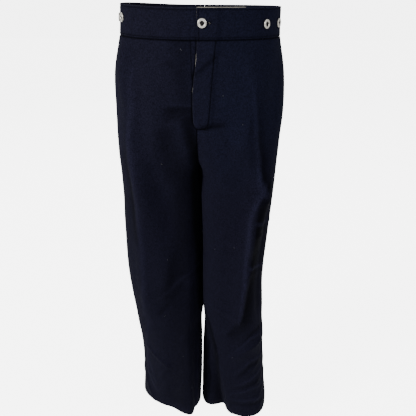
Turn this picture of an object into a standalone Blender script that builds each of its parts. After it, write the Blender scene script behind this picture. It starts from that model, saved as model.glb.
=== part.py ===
"""Uniform trousers with a high waistband and a one-button fly, filled out as worn.

Metres, +Z up. X runs to the wearer's left, -Y to the front. The origin is the middle of
the waistband's ring, 23.5 mm below its top edge. The cloth follows one surface, given by the
section tables: a place on it is a drop below the waist's top edge and a distance along the
cloth from the centre line, positive to the wearer's left. Each piece is a wall on it.
"""

import math
from functools import partial

import bpy
import numpy as np

OUTSEAM = 1.000
WAISTBAND_DEPTH = 0.0515
TOP_Z = 0.0235
CROTCH_DROP = 0.296
JOINED_DROP = 0.170
SEAM_GAP = 0.0003
CLOTH = 0.0020
BAND_FACING = 0.0010
FLY_FACING = 0.0008
UNDERLAP = 0.0015
HEM_DEPTH = 0.038
HEM_EXTRA = 0.0016

SECTION_COLUMNS = (
    "drop", "outer", "inner", "front", "back", "middle", "square", "inner_square", "turn",
    "crease", "crease_at",
)
RIGHT_SECTIONS = (
    (0.000, 0.1500, -0.1500, -0.112, 0.108, -0.004, 2.6, 2.6, 0, 0.000, 130),
    (0.047, 0.1545, -0.1545, -0.113, 0.110, -0.004, 2.6, 2.6, 0, 0.000, 130),
    (0.110, 0.1675, -0.1675, -0.117, 0.119, -0.004, 2.6, 2.6, 0, 0.000, 130),
    (0.170, 0.1715, -0.1715, -0.120, 0.127, -0.006, 2.5, 2.6, 0, 0.000, 130),
    (0.210, 0.1730, -0.0900, -0.121, 0.128, -0.008, 2.5, 2.8, 0, 0.000, 130),
    (0.235, 0.1735, -0.0500, -0.121, 0.126, -0.009, 2.5, 3.0, 0, 0.000, 130),
    (0.260, 0.1737, -0.0220, -0.120, 0.122, -0.009, 2.5, 3.1, 0, 0.000, 130),
    (0.280, 0.1738, -0.0070, -0.119, 0.117, -0.009, 2.5, 3.2, 0, 0.000, 130),
    (0.296, 0.1738, 0.0006, -0.118, 0.112, -0.008, 2.4, 3.2, 0, 0.000, 130),
    (0.360, 0.1745, -0.0004, -0.114, 0.098, -0.004, 2.3, 3.0, 0, 0.000, 130),
    (0.460, 0.1785, -0.0020, -0.106, 0.083, 0.001, 2.3, 2.6, 0, 0.001, 130),
    (0.580, 0.1805, -0.0020, -0.099, 0.070, -0.001, 2.2, 2.4, 1, 0.004, 130),
    (0.650, 0.1760, -0.0012, -0.096, 0.065, -0.006, 2.2, 2.3, 3, 0.008, 130),
    (0.700, 0.1710, -0.0010, -0.094, 0.062, -0.012, 2.1, 2.2, 6, 0.011, 130),
    (0.725, 0.1685, 0.0018, -0.093, 0.061, -0.015, 2.1, 2.1, 7, 0.012, 130),
    (0.790, 0.1635, 0.0006, -0.090, 0.058, -0.023, 1.9, 1.9, 10, 0.017, 130),
    (0.880, 0.1632, 0.0002, -0.086, 0.056, -0.029, 1.8, 1.8, 14, 0.022, 130),
    (1.000, 0.1728, 0.0033, -0.080, 0.054, -0.034, 1.7, 1.7, 16, 0.029, 130),
)
LEFT_SECTIONS = (
    (0.000, 0.1500, -0.1500, -0.112, 0.108, -0.004, 2.2, 2.2, 0, 0.000, 150),
    (0.047, 0.1515, -0.1515, -0.113, 0.110, -0.004, 2.2, 2.2, 0, 0.000, 150),
    (0.110, 0.1610, -0.1610, -0.117, 0.119, -0.004, 2.4, 2.4, 0, 0.000, 150),
    (0.170, 0.1645, -0.1645, -0.120, 0.128, -0.006, 2.6, 2.6, 0, 0.000, 150),
    (0.210, 0.1635, -0.0900, -0.121, 0.130, -0.008, 2.8, 3.2, 0, 0.000, 150),
    (0.235, 0.1625, -0.0500, -0.121, 0.129, -0.009, 2.9, 3.6, 0, 0.000, 150),
    (0.260, 0.1610, -0.0220, -0.120, 0.126, -0.010, 3.0, 4.0, 0, 0.000, 150),
    (0.280, 0.1600, -0.0070, -0.119, 0.123, -0.012, 3.0, 4.2, 0, 0.000, 150),
    (0.296, 0.1590, 0.0006, -0.119, 0.120, -0.013, 3.1, 4.2, 0, 0.000, 150),
    (0.360, 0.1560, 0.0030, -0.117, 0.106, -0.022, 3.2, 4.0, 0, 0.000, 150),
    (0.460, 0.1495, 0.0042, -0.113, 0.094, -0.030, 3.2, 3.8, 0, 0.000, 150),
    (0.580, 0.1450, 0.0042, -0.109, 0.080, -0.030, 3.1, 3.4, 0, 0.000, 148),
    (0.650, 0.1475, 0.0036, -0.107, 0.072, -0.026, 3.0, 3.2, 0, -0.002, 145),
    (0.720, 0.1505, 0.0048, -0.106, 0.065, -0.020, 2.9, 2.8, 0, -0.007, 141),
    (0.790, 0.1555, 0.0022, -0.105, 0.060, -0.008, 2.7, 2.7, 0, -0.015, 136),
    (0.835, 0.1588, 0.0010, -0.105, 0.057, -0.005, 2.6, 2.6, 0, -0.020, 131),
    (0.880, 0.1625, 0.0006, -0.105, 0.054, -0.004, 2.5, 2.5, -1, -0.025, 126),
    (1.000, 0.1755, -0.0028, -0.104, 0.046, -0.018, 2.4, 2.4, -3, -0.038, 115),
)
CREASE_WIDTH = {"right": 17, "left": 20}

CENTRE_COLUMNS = ("drop", "shift")
CENTRE_LINE = (
    (0.000, 0.000), (0.047, 0.000), (0.110, -0.002), (0.170, -0.003), (0.210, -0.002),
    (0.250, -0.001), (0.296, 0.000), (0.360, 0.000), (1.000, 0.000),
)

FOLD_COLUMNS = ("face", "along", "drop", "to_along", "to_drop", "width", "height", "fade")
FOLDS = (
    ("front", 0.100, 0.110, 0.120, 0.240, 0.020, 0.0040, 0.040),
    ("front", 0.125, 0.240, 0.205, 0.345, 0.019, 0.0060, 0.030),
    ("front", 0.205, 0.345, 0.168, 0.450, 0.019, 0.0080, 0.030),
    ("front", 0.168, 0.450, 0.150, 0.650, 0.019, 0.0085, 0.060),
    ("front", 0.215, 0.420, 0.200, 0.640, 0.018, -0.0070, 0.050),
    ("front", -0.145, 0.090, -0.196, 0.330, 0.020, 0.0045, 0.060),
    ("front", -0.196, 0.330, -0.191, 0.620, 0.020, 0.0045, 0.060),
    ("front", -0.060, 0.190, -0.145, 0.420, 0.024, -0.0050, 0.050),
    ("front", -0.085, 0.560, -0.144, 0.640, 0.022, -0.0045, 0.040),
    ("front", 0.211, 0.735, 0.164, 0.775, 0.016, 0.0040, 0.030),
    ("front", 0.045, 0.225, 0.120, 0.300, 0.024, 0.0030, 0.040),
    ("back", -0.080, 0.100, -0.095, 0.240, 0.022, -0.0035, 0.050),
    ("back", 0.080, 0.100, 0.095, 0.240, 0.022, -0.0035, 0.050),
    ("back", -0.114, 0.360, -0.190, 0.330, 0.018, 0.0045, 0.030),
    ("back", 0.090, 0.360, 0.190, 0.330, 0.018, 0.0045, 0.030),
    ("back", -0.100, 0.565, -0.180, 0.600, 0.020, 0.0050, 0.035),
    ("back", 0.090, 0.550, 0.160, 0.585, 0.020, 0.0050, 0.035),
)
RIGHT_LIFT = 0.006
RIGHT_LIFT_END = 0.120

# The wearer's left side laps over the right: how far its edge passes the centre line, the
# line where the fly is stitched down, and the height of the lapped layers over the cloth.
FLY_COLUMNS = ("drop", "edge", "under", "stitch")
FLY_LINES = (
    (0.000, -0.0005, 0.0060, 0.0300), (0.0515, -0.0005, 0.0060, 0.0300),
    (0.084, -0.0010, 0.0060, 0.0280), (0.110, -0.0040, 0.0060, 0.0265),
    (0.136, -0.0060, 0.0060, 0.0250), (0.168, -0.0058, 0.0060, 0.0230),
    (0.1915, -0.0052, 0.0058, 0.0205), (0.1975, -0.0042, 0.0045, 0.0185),
    (0.2015, -0.0022, 0.0015, 0.0160), (0.2035, 0.0, 0.0, 0.0150),
    (0.2185, 0.0, 0.0, 0.0180), (0.296, 0.0, 0.0, 0.0600), (1.000, 0.0, 0.0, 0.0700),
)
FLY_END = 0.2035
LAP_HEIGHT = 0.0037
LAP_SLOPE = 0.010
LAP_FOOT = 0.007
UNDERLAP_START = -0.030
UNDERLAP_END = 0.027
BAND_UNDER_END = 0.027
BAND_FACING_DROP = {"left": 0.0, "right": 0.003}

BUTTON_RADIUS = 0.0081
BUTTON_THICKNESS = 0.0026
BUTTON_DISH = 0.0047
BUTTON_DISH_DEPTH = 0.0009
BUTTON_HOLE = 0.0009
BUTTON_HOLE_OFFSET = 0.0018
BUTTON_SEGMENTS = 20
BUTTONHOLE_LENGTH = 0.021
BUTTONHOLE_WIDTH = 0.0012
BUTTONHOLE_MIDDLE = 0.0150
BUTTON_COLUMNS = ("name", "along", "drop")
BUTTONS = (
    ("button_front", 0.0085, 0.0240),
    ("button_brace_left_a", 0.1270, 0.0270),
    ("button_brace_left_b", 0.1690, 0.0270),
    ("button_brace_right_a", -0.1540, 0.0220),
    ("button_brace_right_b", -0.1960, 0.0240),
    ("button_brace_back_left", 0.3790, 0.0240),
    ("button_brace_back_right", -0.3980, 0.0240),
)

PANEL_ROWS = (
    0.0515, 0.062, 0.080, 0.105, 0.130, 0.155, 0.177, 0.1915, 0.1975, 0.2015, 0.2035, 0.2075,
    0.2125, 0.220, 0.232, 0.248, 0.264, 0.278, 0.287, 0.292, 0.2945, 0.296, 0.304, 0.320, 0.345, 0.375,
    0.410, 0.450, 0.490, 0.530, 0.570, 0.610, 0.650, 0.690, 0.730, 0.770, 0.810, 0.850, 0.885,
    0.920, 0.945, 0.9608, 0.9628, 1.000,
)
BAND_ROWS = (0.0, 0.017, 0.034, 0.0515)
FLY_ROWS = PANEL_ROWS[:9]
PANEL_COLUMNS = 11
BACK_COLUMNS = 12
FLY_COLUMNS_COUNT = 6
BAND_END_STEPS = (0.006, 0.013, 0.020, 0.027, 0.034, 0.040, 0.050)
BAND_COLUMNS = 24

SEAM_POWER = 5
SHARP_ANGLE = math.radians(40)
DENSE_DROPS = np.linspace(0.0, OUTSEAM, 251)
SAMPLES = 181
AROUND = np.linspace(math.pi, 0.0, SAMPLES)
SIDES = {"right": -1, "left": 1}


def read_table(table, columns, name, drop):
    """The column's value at this drop, on a smooth curve through the rows."""
    rows = np.array(table)
    at, values = rows[:, 0], rows[:, columns.index(name)]
    slopes = np.gradient(values, at)
    i = np.clip(np.searchsorted(at, drop) - 1, 0, len(at) - 2)
    step = at[i + 1] - at[i]
    u = np.clip((drop - at[i]) / step, 0.0, 1.0)
    start = (2 * u**3 - 3 * u**2 + 1) * values[i] + (u**3 - 2 * u**2 + u) * step * slopes[i]
    end = (3 * u**2 - 2 * u**3) * values[i + 1] + (u**3 - u**2) * step * slopes[i + 1]
    return start + end


def read_line(name, drop):
    """The fly's lines run straight from row to row, since their corners are close together."""
    rows = np.array(FLY_LINES)
    return np.interp(drop, rows[:, 0], rows[:, FLY_COLUMNS.index(name)])


def smooth_step(low, high, value):
    u = np.clip((value - low) / (high - low), 0.0, 1.0)
    return u * u * (3 - 2 * u)


def section_line(side, face, drop):
    """Half of one leg's section, inseam to side seam, and where the centre line cuts it."""
    table = RIGHT_SECTIONS if side == "right" else LEFT_SECTIONS
    row = {name: read_table(table, SECTION_COLUMNS, name, drop) for name in SECTION_COLUMNS[1:]}
    if drop <= JOINED_DROP:
        row["inner"] = -row["outer"]
    centre = (row["outer"] + row["inner"]) / 2
    half_width = (row["outer"] - row["inner"]) / 2
    cut = min(1.0, max(0.0, centre / half_width)) if drop < CROTCH_DROP else 1.0
    start = math.acos(-(cut ** (row["inner_square"] / 2)))
    across, along = np.cos(AROUND), np.sin(AROUND)
    power = 2 / np.where(across < 0, row["inner_square"], row["square"])
    x = half_width * np.sign(across) * np.abs(across) ** power
    depth = row["front"] - row["middle"] if face == "front" else row["back"] - row["middle"]
    y = depth * np.abs(along) ** power
    signed = AROUND if face == "front" else -AROUND
    away = (signed - math.radians(row["crease_at"]) + math.pi) % (2 * math.pi) - math.pi
    bump = row["crease"] * np.exp(-((away / math.radians(CREASE_WIDTH[side])) ** 2))
    grow = 1 + bump / np.hypot(x, y)
    x, y = x * grow, y * grow
    turn = math.radians(row["turn"])
    out = centre + x * math.cos(turn) - y * math.sin(turn)
    back = row["middle"] + x * math.sin(turn) + y * math.cos(turn)
    world_x = SIDES[side] * out
    shift = read_table(CENTRE_LINE, CENTRE_COLUMNS, "shift", drop)
    world_x = world_x + shift * np.clip(1 - np.abs(world_x) / row["outer"], 0.0, 1.0)
    lift = RIGHT_LIFT * np.clip(-world_x / row["outer"], 0.0, 1.0) ** 2
    lift = lift * (1 - smooth_step(0.0, RIGHT_LIFT_END, drop))
    return np.stack([world_x, back, TOP_Z - drop + lift], axis=1), start


def normals_of(points, side, face):
    down = np.gradient(points, axis=0)
    along = np.gradient(points, axis=1)
    normal = np.cross(along, down)
    if (side == "right") != (face == "front"):
        normal = -normal
    return normal / np.linalg.norm(normal, axis=2, keepdims=True)


def missing_width(totals):
    """What the centre seam cuts off each row between the fly and the crotch."""
    ends = np.interp((FLY_END, CROTCH_DROP), DENSE_DROPS, totals)
    whole = np.interp(DENSE_DROPS, (FLY_END, CROTCH_DROP), ends)
    inside = (DENSE_DROPS > FLY_END) & (DENSE_DROPS < CROTCH_DROP)
    return np.where(inside, np.maximum(whole - totals, 0.0), 0.0)


def fold_heights(face, side, from_side, totals):
    """How far each point stands out by its folds, whose ends are set off from the side seam."""
    height = np.zeros_like(from_side)
    for row in FOLDS:
        fold = dict(zip(FOLD_COLUMNS, row))
        if fold["face"] != face or fold["along"] * SIDES[side] < 0:
            continue
        start = np.interp(fold["drop"], DENSE_DROPS, totals) - abs(fold["along"])
        end = np.interp(fold["to_drop"], DENSE_DROPS, totals) - abs(fold["to_along"])
        run = np.array([end - start, fold["to_drop"] - fold["drop"]])
        length = np.linalg.norm(run)
        run = run / length
        dx, dz = from_side - start, DENSE_DROPS[:, None] - fold["drop"]
        on = dx * run[0] + dz * run[1]
        off = dx * run[1] - dz * run[0]
        past = np.maximum(np.maximum(-on, on - length), 0.0)
        fade = np.exp(-((off / fold["width"]) ** 2) - (past / fold["fade"]) ** 2)
        height += fold["height"] * fade
    return height


def from_angles(values, angles):
    """Reads each row's values at its own angles: the rows' samples stand at AROUND."""
    rows = []
    for row, wanted in zip(values, angles):
        rows.append(np.interp(wanted, AROUND[::-1], row[::-1]))
    return np.array(rows)


def make_surface():
    """Positions, normals and distances along the cloth for each face of each side."""
    surface = {}
    drops = DENSE_DROPS[:, None]
    for side in SIDES:
        for face in ("front", "back"):
            lines, starts = zip(*(section_line(side, face, drop) for drop in DENSE_DROPS))
            points, starts = np.array(lines), np.array(starts)[:, None]
            steps = np.linalg.norm(np.diff(points, axis=1), axis=2)
            along = np.concatenate([np.zeros((len(points), 1)), np.cumsum(steps, axis=1)], axis=1)
            along = along - from_angles(along, starts)
            missing = missing_width(along[:, -1])
            from_side = along[:, -1:] - along
            heights = fold_heights(face, side, from_side, along[:, -1] + missing)
            quiet = smooth_step(WAISTBAND_DEPTH, WAISTBAND_DEPTH + 0.03, drops)
            quiet = quiet * smooth_step(0.0, 0.018, from_side)
            quiet = quiet * smooth_step(0.0, 0.018, along)
            points = points + normals_of(points, side, face) * (heights * quiet)[..., None]
            normals = normals_of(points, side, face)
            angles = starts * np.linspace(1.0, 0.0, SAMPLES)
            sheet = {"along": from_angles(along, angles), "missing": missing}
            for name, values in (("points", points), ("normals", normals)):
                axes = [from_angles(values[..., k], angles) for k in range(3)]
                sheet[name] = np.stack(axes, axis=2)
            surface[side, face] = sheet
    share_edge_normals(surface)
    return surface


def share_edge_normals(surface):
    """Pieces that meet at a seam take one normal there, so that their edges stay parallel."""
    joined = DENSE_DROPS < CROTCH_DROP - 0.001
    for face in ("front", "back"):
        right, left = surface["right", face]["normals"], surface["left", face]["normals"]
        shared = right[joined, 0] + left[joined, 0]
        shared /= np.linalg.norm(shared, axis=1, keepdims=True)
        right[joined, 0] = shared
        left[joined, 0] = shared
    for side in SIDES:
        front, back = surface[side, "front"]["normals"], surface[side, "back"]["normals"]
        for rows, edge in ((~joined, 0), (np.full(len(joined), True), -1)):
            shared = front[rows, edge] + back[rows, edge]
            shared /= np.linalg.norm(shared, axis=1, keepdims=True)
            front[rows, edge] = shared
            back[rows, edge] = shared


def reach(surface, side, face, drop):
    """The cloth's width from the centre line or inseam to the side seam."""
    return float(np.interp(drop, DENSE_DROPS, surface[side, face]["along"][:, -1]))


def place_on(surface, face, along, drop):
    """The point and normal at a signed distance along one face."""
    side = "left" if along >= 0 else "right"
    sheet = surface[side, face]
    at = drop / OUTSEAM * (len(DENSE_DROPS) - 1)
    low = min(int(at), len(DENSE_DROPS) - 2)
    part = at - low
    from_side = reach(surface, side, face, drop) - abs(along)
    found = []
    for name in ("points", "normals"):
        ends = []
        for row in (low, low + 1):
            lengths = sheet["along"][row]
            at_row = max(lengths[-1] - from_side, 0.0)
            ends.append([np.interp(at_row, lengths, sheet[name][row, :, k]) for k in range(3)])
        found.append(np.array(ends[0]) * (1 - part) + np.array(ends[1]) * part)
    return found[0], found[1] / np.linalg.norm(found[1])


def place_round(surface, along, drop):
    """The same for the waistband, which runs on past the side seam to the centre back."""
    side = "left" if along >= 0 else "right"
    front = reach(surface, side, "front", drop)
    if abs(along) <= front:
        return place_on(surface, "front", along, drop)
    back = reach(surface, side, "back", drop)
    rest = max(front + back - abs(along), 0.0)
    return place_on(surface, "back", rest * SIDES[side] or 1e-9 * SIDES[side], drop)


def lap_height(along, drop):
    """How far the wearer's left stands out over the layers of the fly."""
    stitch = read_line("stitch", drop)
    side_slope = 1 - smooth_step(stitch, stitch + LAP_SLOPE, along)
    foot_slope = 1 - smooth_step(FLY_END + 0.001, FLY_END + LAP_FOOT, drop)
    return LAP_HEIGHT * side_slope * foot_slope


def wall_rings(outer, inner):
    """One closed ring of points for each row of a wall: out along its face, back inside."""
    return [np.concatenate([face, back[::-1]]) for face, back in zip(outer, inner)]


def loft(name, rings, material, collection):
    """Joins each ring to the next and closes the two end rings with strips."""
    count = len(rings[0])
    vertices = np.concatenate(rings)
    faces = []
    for row in range(len(rings) - 1):
        base, following = row * count, (row + 1) * count
        for i in range(count):
            j = (i + 1) % count
            faces.append((base + i, base + j, following + j, following + i))
    last = (len(rings) - 1) * count
    for i in range(count // 2 - 1):
        across = count - 1 - i
        faces.append((i, across, across - 1, i + 1))
        faces.append((last + i, last + i + 1, last + across - 1, last + across))
    mesh = bpy.data.meshes.new(name)
    mesh.from_pydata(vertices.tolist(), [], faces)
    mesh.update()
    if signed_volume(mesh) < 0:
        mesh.flip_normals()
    mesh.materials.append(material)
    mesh.set_sharp_from_angle(angle=SHARP_ANGLE)
    built = bpy.data.objects.new(name, mesh)
    collection.objects.link(built)
    return built


def signed_volume(mesh):
    total = 0.0
    for polygon in mesh.polygons:
        corners = [mesh.vertices[i].co for i in polygon.vertices]
        for a, b in zip(corners[1:-1], corners[2:]):
            total += corners[0].dot(a.cross(b))
    return total / 6


def panel_columns(surface, face, side, drop):
    """Distances from the centre edge or inseam to the side seam, closer at the fly."""
    half_gap = SEAM_GAP / 2
    start, end = half_gap, reach(surface, side, face, drop) - half_gap
    missing = float(np.interp(drop, DENSE_DROPS, surface[side, face]["missing"]))
    end += missing
    if face == "back":
        columns = np.linspace(start, end, BACK_COLUMNS)
    else:
        if side == "left":
            start += read_line("edge", drop)
            fly_end = read_line("stitch", drop)
        else:
            start -= read_line("under", drop)
            fly_end = max(-UNDERLAP_START, read_line("stitch", drop))
        near = np.linspace(start, fly_end, FLY_COLUMNS_COUNT)
        columns = np.concatenate([near, np.linspace(fly_end, end, PANEL_COLUMNS)[1:]])
    # Near the crotch the seam cuts the row short: the columns close up on it, and only there.
    return columns + missing * ((1 - (columns - start) / (end - start)) ** SEAM_POWER - 1)


def panel(surface, name, face, side, material, collection):
    """A leg panel, from its centre edge or inseam to its side seam."""
    outer, inner = [], []
    for drop in (PANEL_ROWS[0] + SEAM_GAP / 2, *PANEL_ROWS[1:]):
        thickness = CLOTH + (HEM_EXTRA if drop > OUTSEAM - HEM_DEPTH else 0.0)
        outer_row, inner_row = [], []
        for distance in panel_columns(surface, face, side, drop):
            along = distance * SIDES[side]
            point, normal = place_on(surface, face, along, drop)
            if face == "front" and side == "left":
                point = point + normal * lap_height(along, drop)
            outer_row.append(point)
            inner_row.append(point - normal * thickness)
        outer.append(outer_row)
        inner.append(inner_row)
    return loft(name, wall_rings(outer, inner), material, collection)


def strip(surface, name, rows, columns_at, lifted, depth, thickness, material, collection):
    """A wall beside the cloth: columns_at(drop) gives its distances along the cloth."""
    outer, inner = [], []
    for drop in rows:
        outer_row, inner_row = [], []
        for along in columns_at(drop):
            point, normal = place_round(surface, along, drop)
            level = (lap_height(along, drop) if lifted else 0.0) - depth
            outer_row.append(point + normal * level)
            inner_row.append(point + normal * (level - thickness))
        outer.append(outer_row)
        inner.append(inner_row)
    return loft(name, wall_rings(outer, inner), material, collection)


def make_material(name, colour, roughness, metallic=0.0):
    material = bpy.data.materials.new(name)
    material.use_nodes = True
    shader = material.node_tree.nodes["Principled BSDF"]
    shader.inputs["Base Color"].default_value = (*colour, 1.0)
    shader.inputs["Roughness"].default_value = roughness
    shader.inputs["Metallic"].default_value = metallic
    return material


def frame_at(surface, along, drop, level):
    """Axes on the waistband: across it, up it and out of it, with a point at this level."""
    point, normal = place_round(surface, along, drop)
    upper = place_round(surface, along, drop - 0.004)[0]
    up = upper - point
    up = up - normal * up.dot(normal)
    up /= np.linalg.norm(up)
    across = np.cross(up, normal)
    return point + normal * level, across, up, normal


def make_button(surface, name, along, drop, material, collection, cutters):
    """A dished button with four holes, its flat back just clear of the band."""
    lifted = lap_height(along, drop) if along > 0 else 0.0
    middle, across, up, normal = frame_at(surface, along, drop, lifted + SEAM_GAP)
    profile = (
        (BUTTON_RADIUS - 0.0006, 0.0),
        (BUTTON_RADIUS, 0.0008),
        (BUTTON_RADIUS, BUTTON_THICKNESS - 0.0008),
        (BUTTON_RADIUS - 0.0007, BUTTON_THICKNESS),
        (BUTTON_DISH + 0.0005, BUTTON_THICKNESS),
        (BUTTON_DISH, BUTTON_THICKNESS - BUTTON_DISH_DEPTH),
    )
    vertices, faces = [], []
    for radius, height in profile:
        for i in range(BUTTON_SEGMENTS):
            angle = 2 * math.pi * i / BUTTON_SEGMENTS
            spoke = across * math.cos(angle) + up * math.sin(angle)
            vertices.append(middle + spoke * radius + normal * height)
    for ring in range(len(profile) - 1):
        base, following = ring * BUTTON_SEGMENTS, (ring + 1) * BUTTON_SEGMENTS
        for i in range(BUTTON_SEGMENTS):
            j = (i + 1) % BUTTON_SEGMENTS
            faces.append((base + i, base + j, following + j, following + i))
    top = (len(profile) - 1) * BUTTON_SEGMENTS
    faces.append(tuple(range(BUTTON_SEGMENTS - 1, -1, -1)))
    faces.append(tuple(range(top, top + BUTTON_SEGMENTS)))
    mesh = bpy.data.meshes.new(name)
    mesh.from_pydata([vertex.tolist() for vertex in vertices], [], faces)
    mesh.materials.append(material)
    mesh.set_sharp_from_angle(angle=SHARP_ANGLE)
    built = bpy.data.objects.new(name, mesh)
    collection.objects.link(built)
    holes = make_holes(name, middle, across, up, normal, cutters)
    cut(built, holes)
    return built


def make_holes(name, middle, across, up, normal, cutters):
    vertices, faces = [], []
    sides = 6
    for sx, sy in ((1, 1), (-1, 1), (-1, -1), (1, -1)):
        centre = middle + (across * sx + up * sy) * BUTTON_HOLE_OFFSET
        start = len(vertices)
        for height in (-0.001, BUTTON_THICKNESS + 0.001):
            for i in range(sides):
                angle = 2 * math.pi * (i + 0.5) / sides
                spoke = across * math.cos(angle) + up * math.sin(angle)
                vertices.append(centre + spoke * BUTTON_HOLE + normal * height)
        for i in range(sides):
            j = (i + 1) % sides
            faces.append((start + i, start + j, start + sides + j, start + sides + i))
        faces.append(tuple(range(start + sides - 1, start - 1, -1)))
        faces.append(tuple(range(start + sides, start + 2 * sides)))
    return make_cutter(name + "_holes", vertices, faces, cutters)


def make_cutter(name, vertices, faces, cutters):
    mesh = bpy.data.meshes.new(name)
    mesh.from_pydata([np.asarray(vertex).tolist() for vertex in vertices], [], faces)
    cutter = bpy.data.objects.new(name, mesh)
    cutters.objects.link(cutter)
    cutter.hide_render = True
    cutter.display_type = "WIRE"
    return cutter


def cut(target, cutter):
    modifier = target.modifiers.new(cutter.name, "BOOLEAN")
    modifier.operation = "DIFFERENCE"
    modifier.solver = "EXACT"
    modifier.object = cutter


def make_buttonhole(surface, drop, cutters):
    """A slit through the lapped end of the band, beside and under the front button."""
    middle, across, up, normal = frame_at(surface, BUTTONHOLE_MIDDLE, drop, LAP_HEIGHT)
    vertices = []
    for height in (-LAP_HEIGHT - 0.0001, 0.002):
        for sx, sy in ((-1, -1), (1, -1), (1, 1), (-1, 1)):
            corner = across * (sx * BUTTONHOLE_LENGTH / 2) + up * (sy * BUTTONHOLE_WIDTH / 2)
            vertices.append(middle + corner + normal * height)
    faces = [(3, 2, 1, 0), (4, 5, 6, 7), (0, 1, 5, 4), (1, 2, 6, 5), (2, 3, 7, 6), (3, 0, 4, 7)]
    return make_cutter("buttonhole", vertices, faces, cutters)


def band_columns(surface, side, drop):
    """Distances round one half of the waistband, from its front end to the centre back."""
    end = reach(surface, side, "front", drop) + reach(surface, side, "back", drop)
    end = (end - SEAM_GAP / 2) * SIDES[side]
    if side == "left":
        near = [read_line("edge", drop), *BAND_END_STEPS]
    else:
        near = [step for step in reversed(BAND_END_STEPS) if step <= BAND_UNDER_END] + [0.0]
    return np.concatenate([near, np.linspace(near[-1], end, BAND_COLUMNS)[1:]])


def fly_facing_columns(drop):
    start, end = read_line("edge", drop), read_line("stitch", drop)
    columns = np.linspace(start, end, FLY_COLUMNS_COUNT)
    columns[0] += 0.0004
    columns[-1] -= 0.0020
    return columns


def underlap_columns(drop):
    right = np.linspace(UNDERLAP_START, read_line("under", drop), FLY_COLUMNS_COUNT)
    end = min(UNDERLAP_END, read_line("stitch", drop))
    return np.concatenate([right, np.linspace(right[-1], end, FLY_COLUMNS_COUNT)[1:]])


def main():
    for leftover in list(bpy.data.objects):
        bpy.data.objects.remove(leftover, do_unlink=True)
    garment = bpy.data.collections.new("Uniform trousers")
    cutters = bpy.data.collections.new("Cutters")
    bpy.context.scene.collection.children.link(garment)
    bpy.context.scene.collection.children.link(cutters)
    cutters.hide_render = True

    cloth = make_material("Navy wool", (0.010, 0.011, 0.020), 0.9)
    facing = make_material("Pale cotton", (0.66, 0.63, 0.56), 0.85)
    lining = make_material("Dark cotton", (0.014, 0.014, 0.020), 0.85)
    metal = make_material("Button metal", (0.62, 0.58, 0.50), 0.35, 1.0)

    surface = make_surface()
    for side in SIDES:
        panel(surface, f"front_{side}", "front", side, cloth, garment)
        panel(surface, f"back_{side}", "back", side, cloth, garment)

    rows = [*BAND_ROWS[:-1], BAND_ROWS[-1] - SEAM_GAP / 2]
    hole = make_buttonhole(surface, BUTTONS[0][2], cutters)
    for side in SIDES:
        lifted = side == "left"
        columns = partial(band_columns, surface, side)
        name = f"waistband_{side}"
        band = strip(surface, name, rows, columns, lifted, 0.0, CLOTH, cloth, garment)
        name = f"waistband_facing_{side}"
        rows_inside = [BAND_FACING_DROP[side], *rows[1:]]
        depth = CLOTH + SEAM_GAP
        inside = strip(
            surface, name, rows_inside, columns, lifted, depth, BAND_FACING, facing, garment
        )
        if lifted:
            cut(band, hole)
            cut(inside, hole)

    rows = [FLY_ROWS[0] + SEAM_GAP / 2, *FLY_ROWS[1:]]
    strip(
        surface, "fly_facing", rows, fly_facing_columns, True, depth, FLY_FACING, facing, garment
    )
    strip(
        surface, "fly_underlap", rows, underlap_columns, False, depth, UNDERLAP, lining, garment
    )
    for name, along, drop in BUTTONS:
        make_button(surface, name, along, drop, metal, garment, cutters)


main()
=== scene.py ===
import math

import bpy
import numpy as np
from mathutils import Matrix, Vector, noise


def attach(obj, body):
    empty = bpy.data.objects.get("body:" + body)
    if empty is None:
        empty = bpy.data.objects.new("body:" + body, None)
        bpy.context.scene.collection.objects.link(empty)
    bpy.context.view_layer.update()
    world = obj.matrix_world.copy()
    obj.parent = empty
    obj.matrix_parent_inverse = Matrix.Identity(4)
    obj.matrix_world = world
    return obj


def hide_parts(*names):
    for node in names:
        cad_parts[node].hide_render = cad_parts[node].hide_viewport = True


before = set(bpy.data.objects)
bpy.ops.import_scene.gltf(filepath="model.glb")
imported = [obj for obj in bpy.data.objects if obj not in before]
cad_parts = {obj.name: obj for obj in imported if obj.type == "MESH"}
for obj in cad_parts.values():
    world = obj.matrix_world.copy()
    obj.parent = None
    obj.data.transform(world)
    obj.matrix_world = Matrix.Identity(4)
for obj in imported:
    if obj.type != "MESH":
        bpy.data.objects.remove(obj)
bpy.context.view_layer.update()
print("frame loaded,", len(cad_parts), "solids")

# The cut, in metres, as the solids have it. A place on the cloth is a drop below the waist's
# top edge and a distance along the cloth from the centre line, positive to the wearer's left.
cut = {
    "outseam": 1.000, "bandDepth": 0.0515, "joinedDrop": 0.170, "crotchDrop": 0.296,
    "flyEnd": 0.2035, "seamGap": 0.0003, "wool": 0.0020, "bandFacing": 0.0010,
    "flyFacing": 0.0008, "underlap": 0.0015, "hemDepth": 0.038, "hemExtra": 0.0016,
    "rightLift": 0.006, "rightLiftEnd": 0.120, "lapHeight": 0.0037, "lapSlope": 0.010,
    "lapFoot": 0.007, "underlapStart": -0.030, "underlapEnd": 0.027, "bandUnderEnd": 0.027,
}
creaseWidth = {"right": 14, "left": 20}
topZ = 0.0235
sides = {"right": -1, "left": 1}

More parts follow.
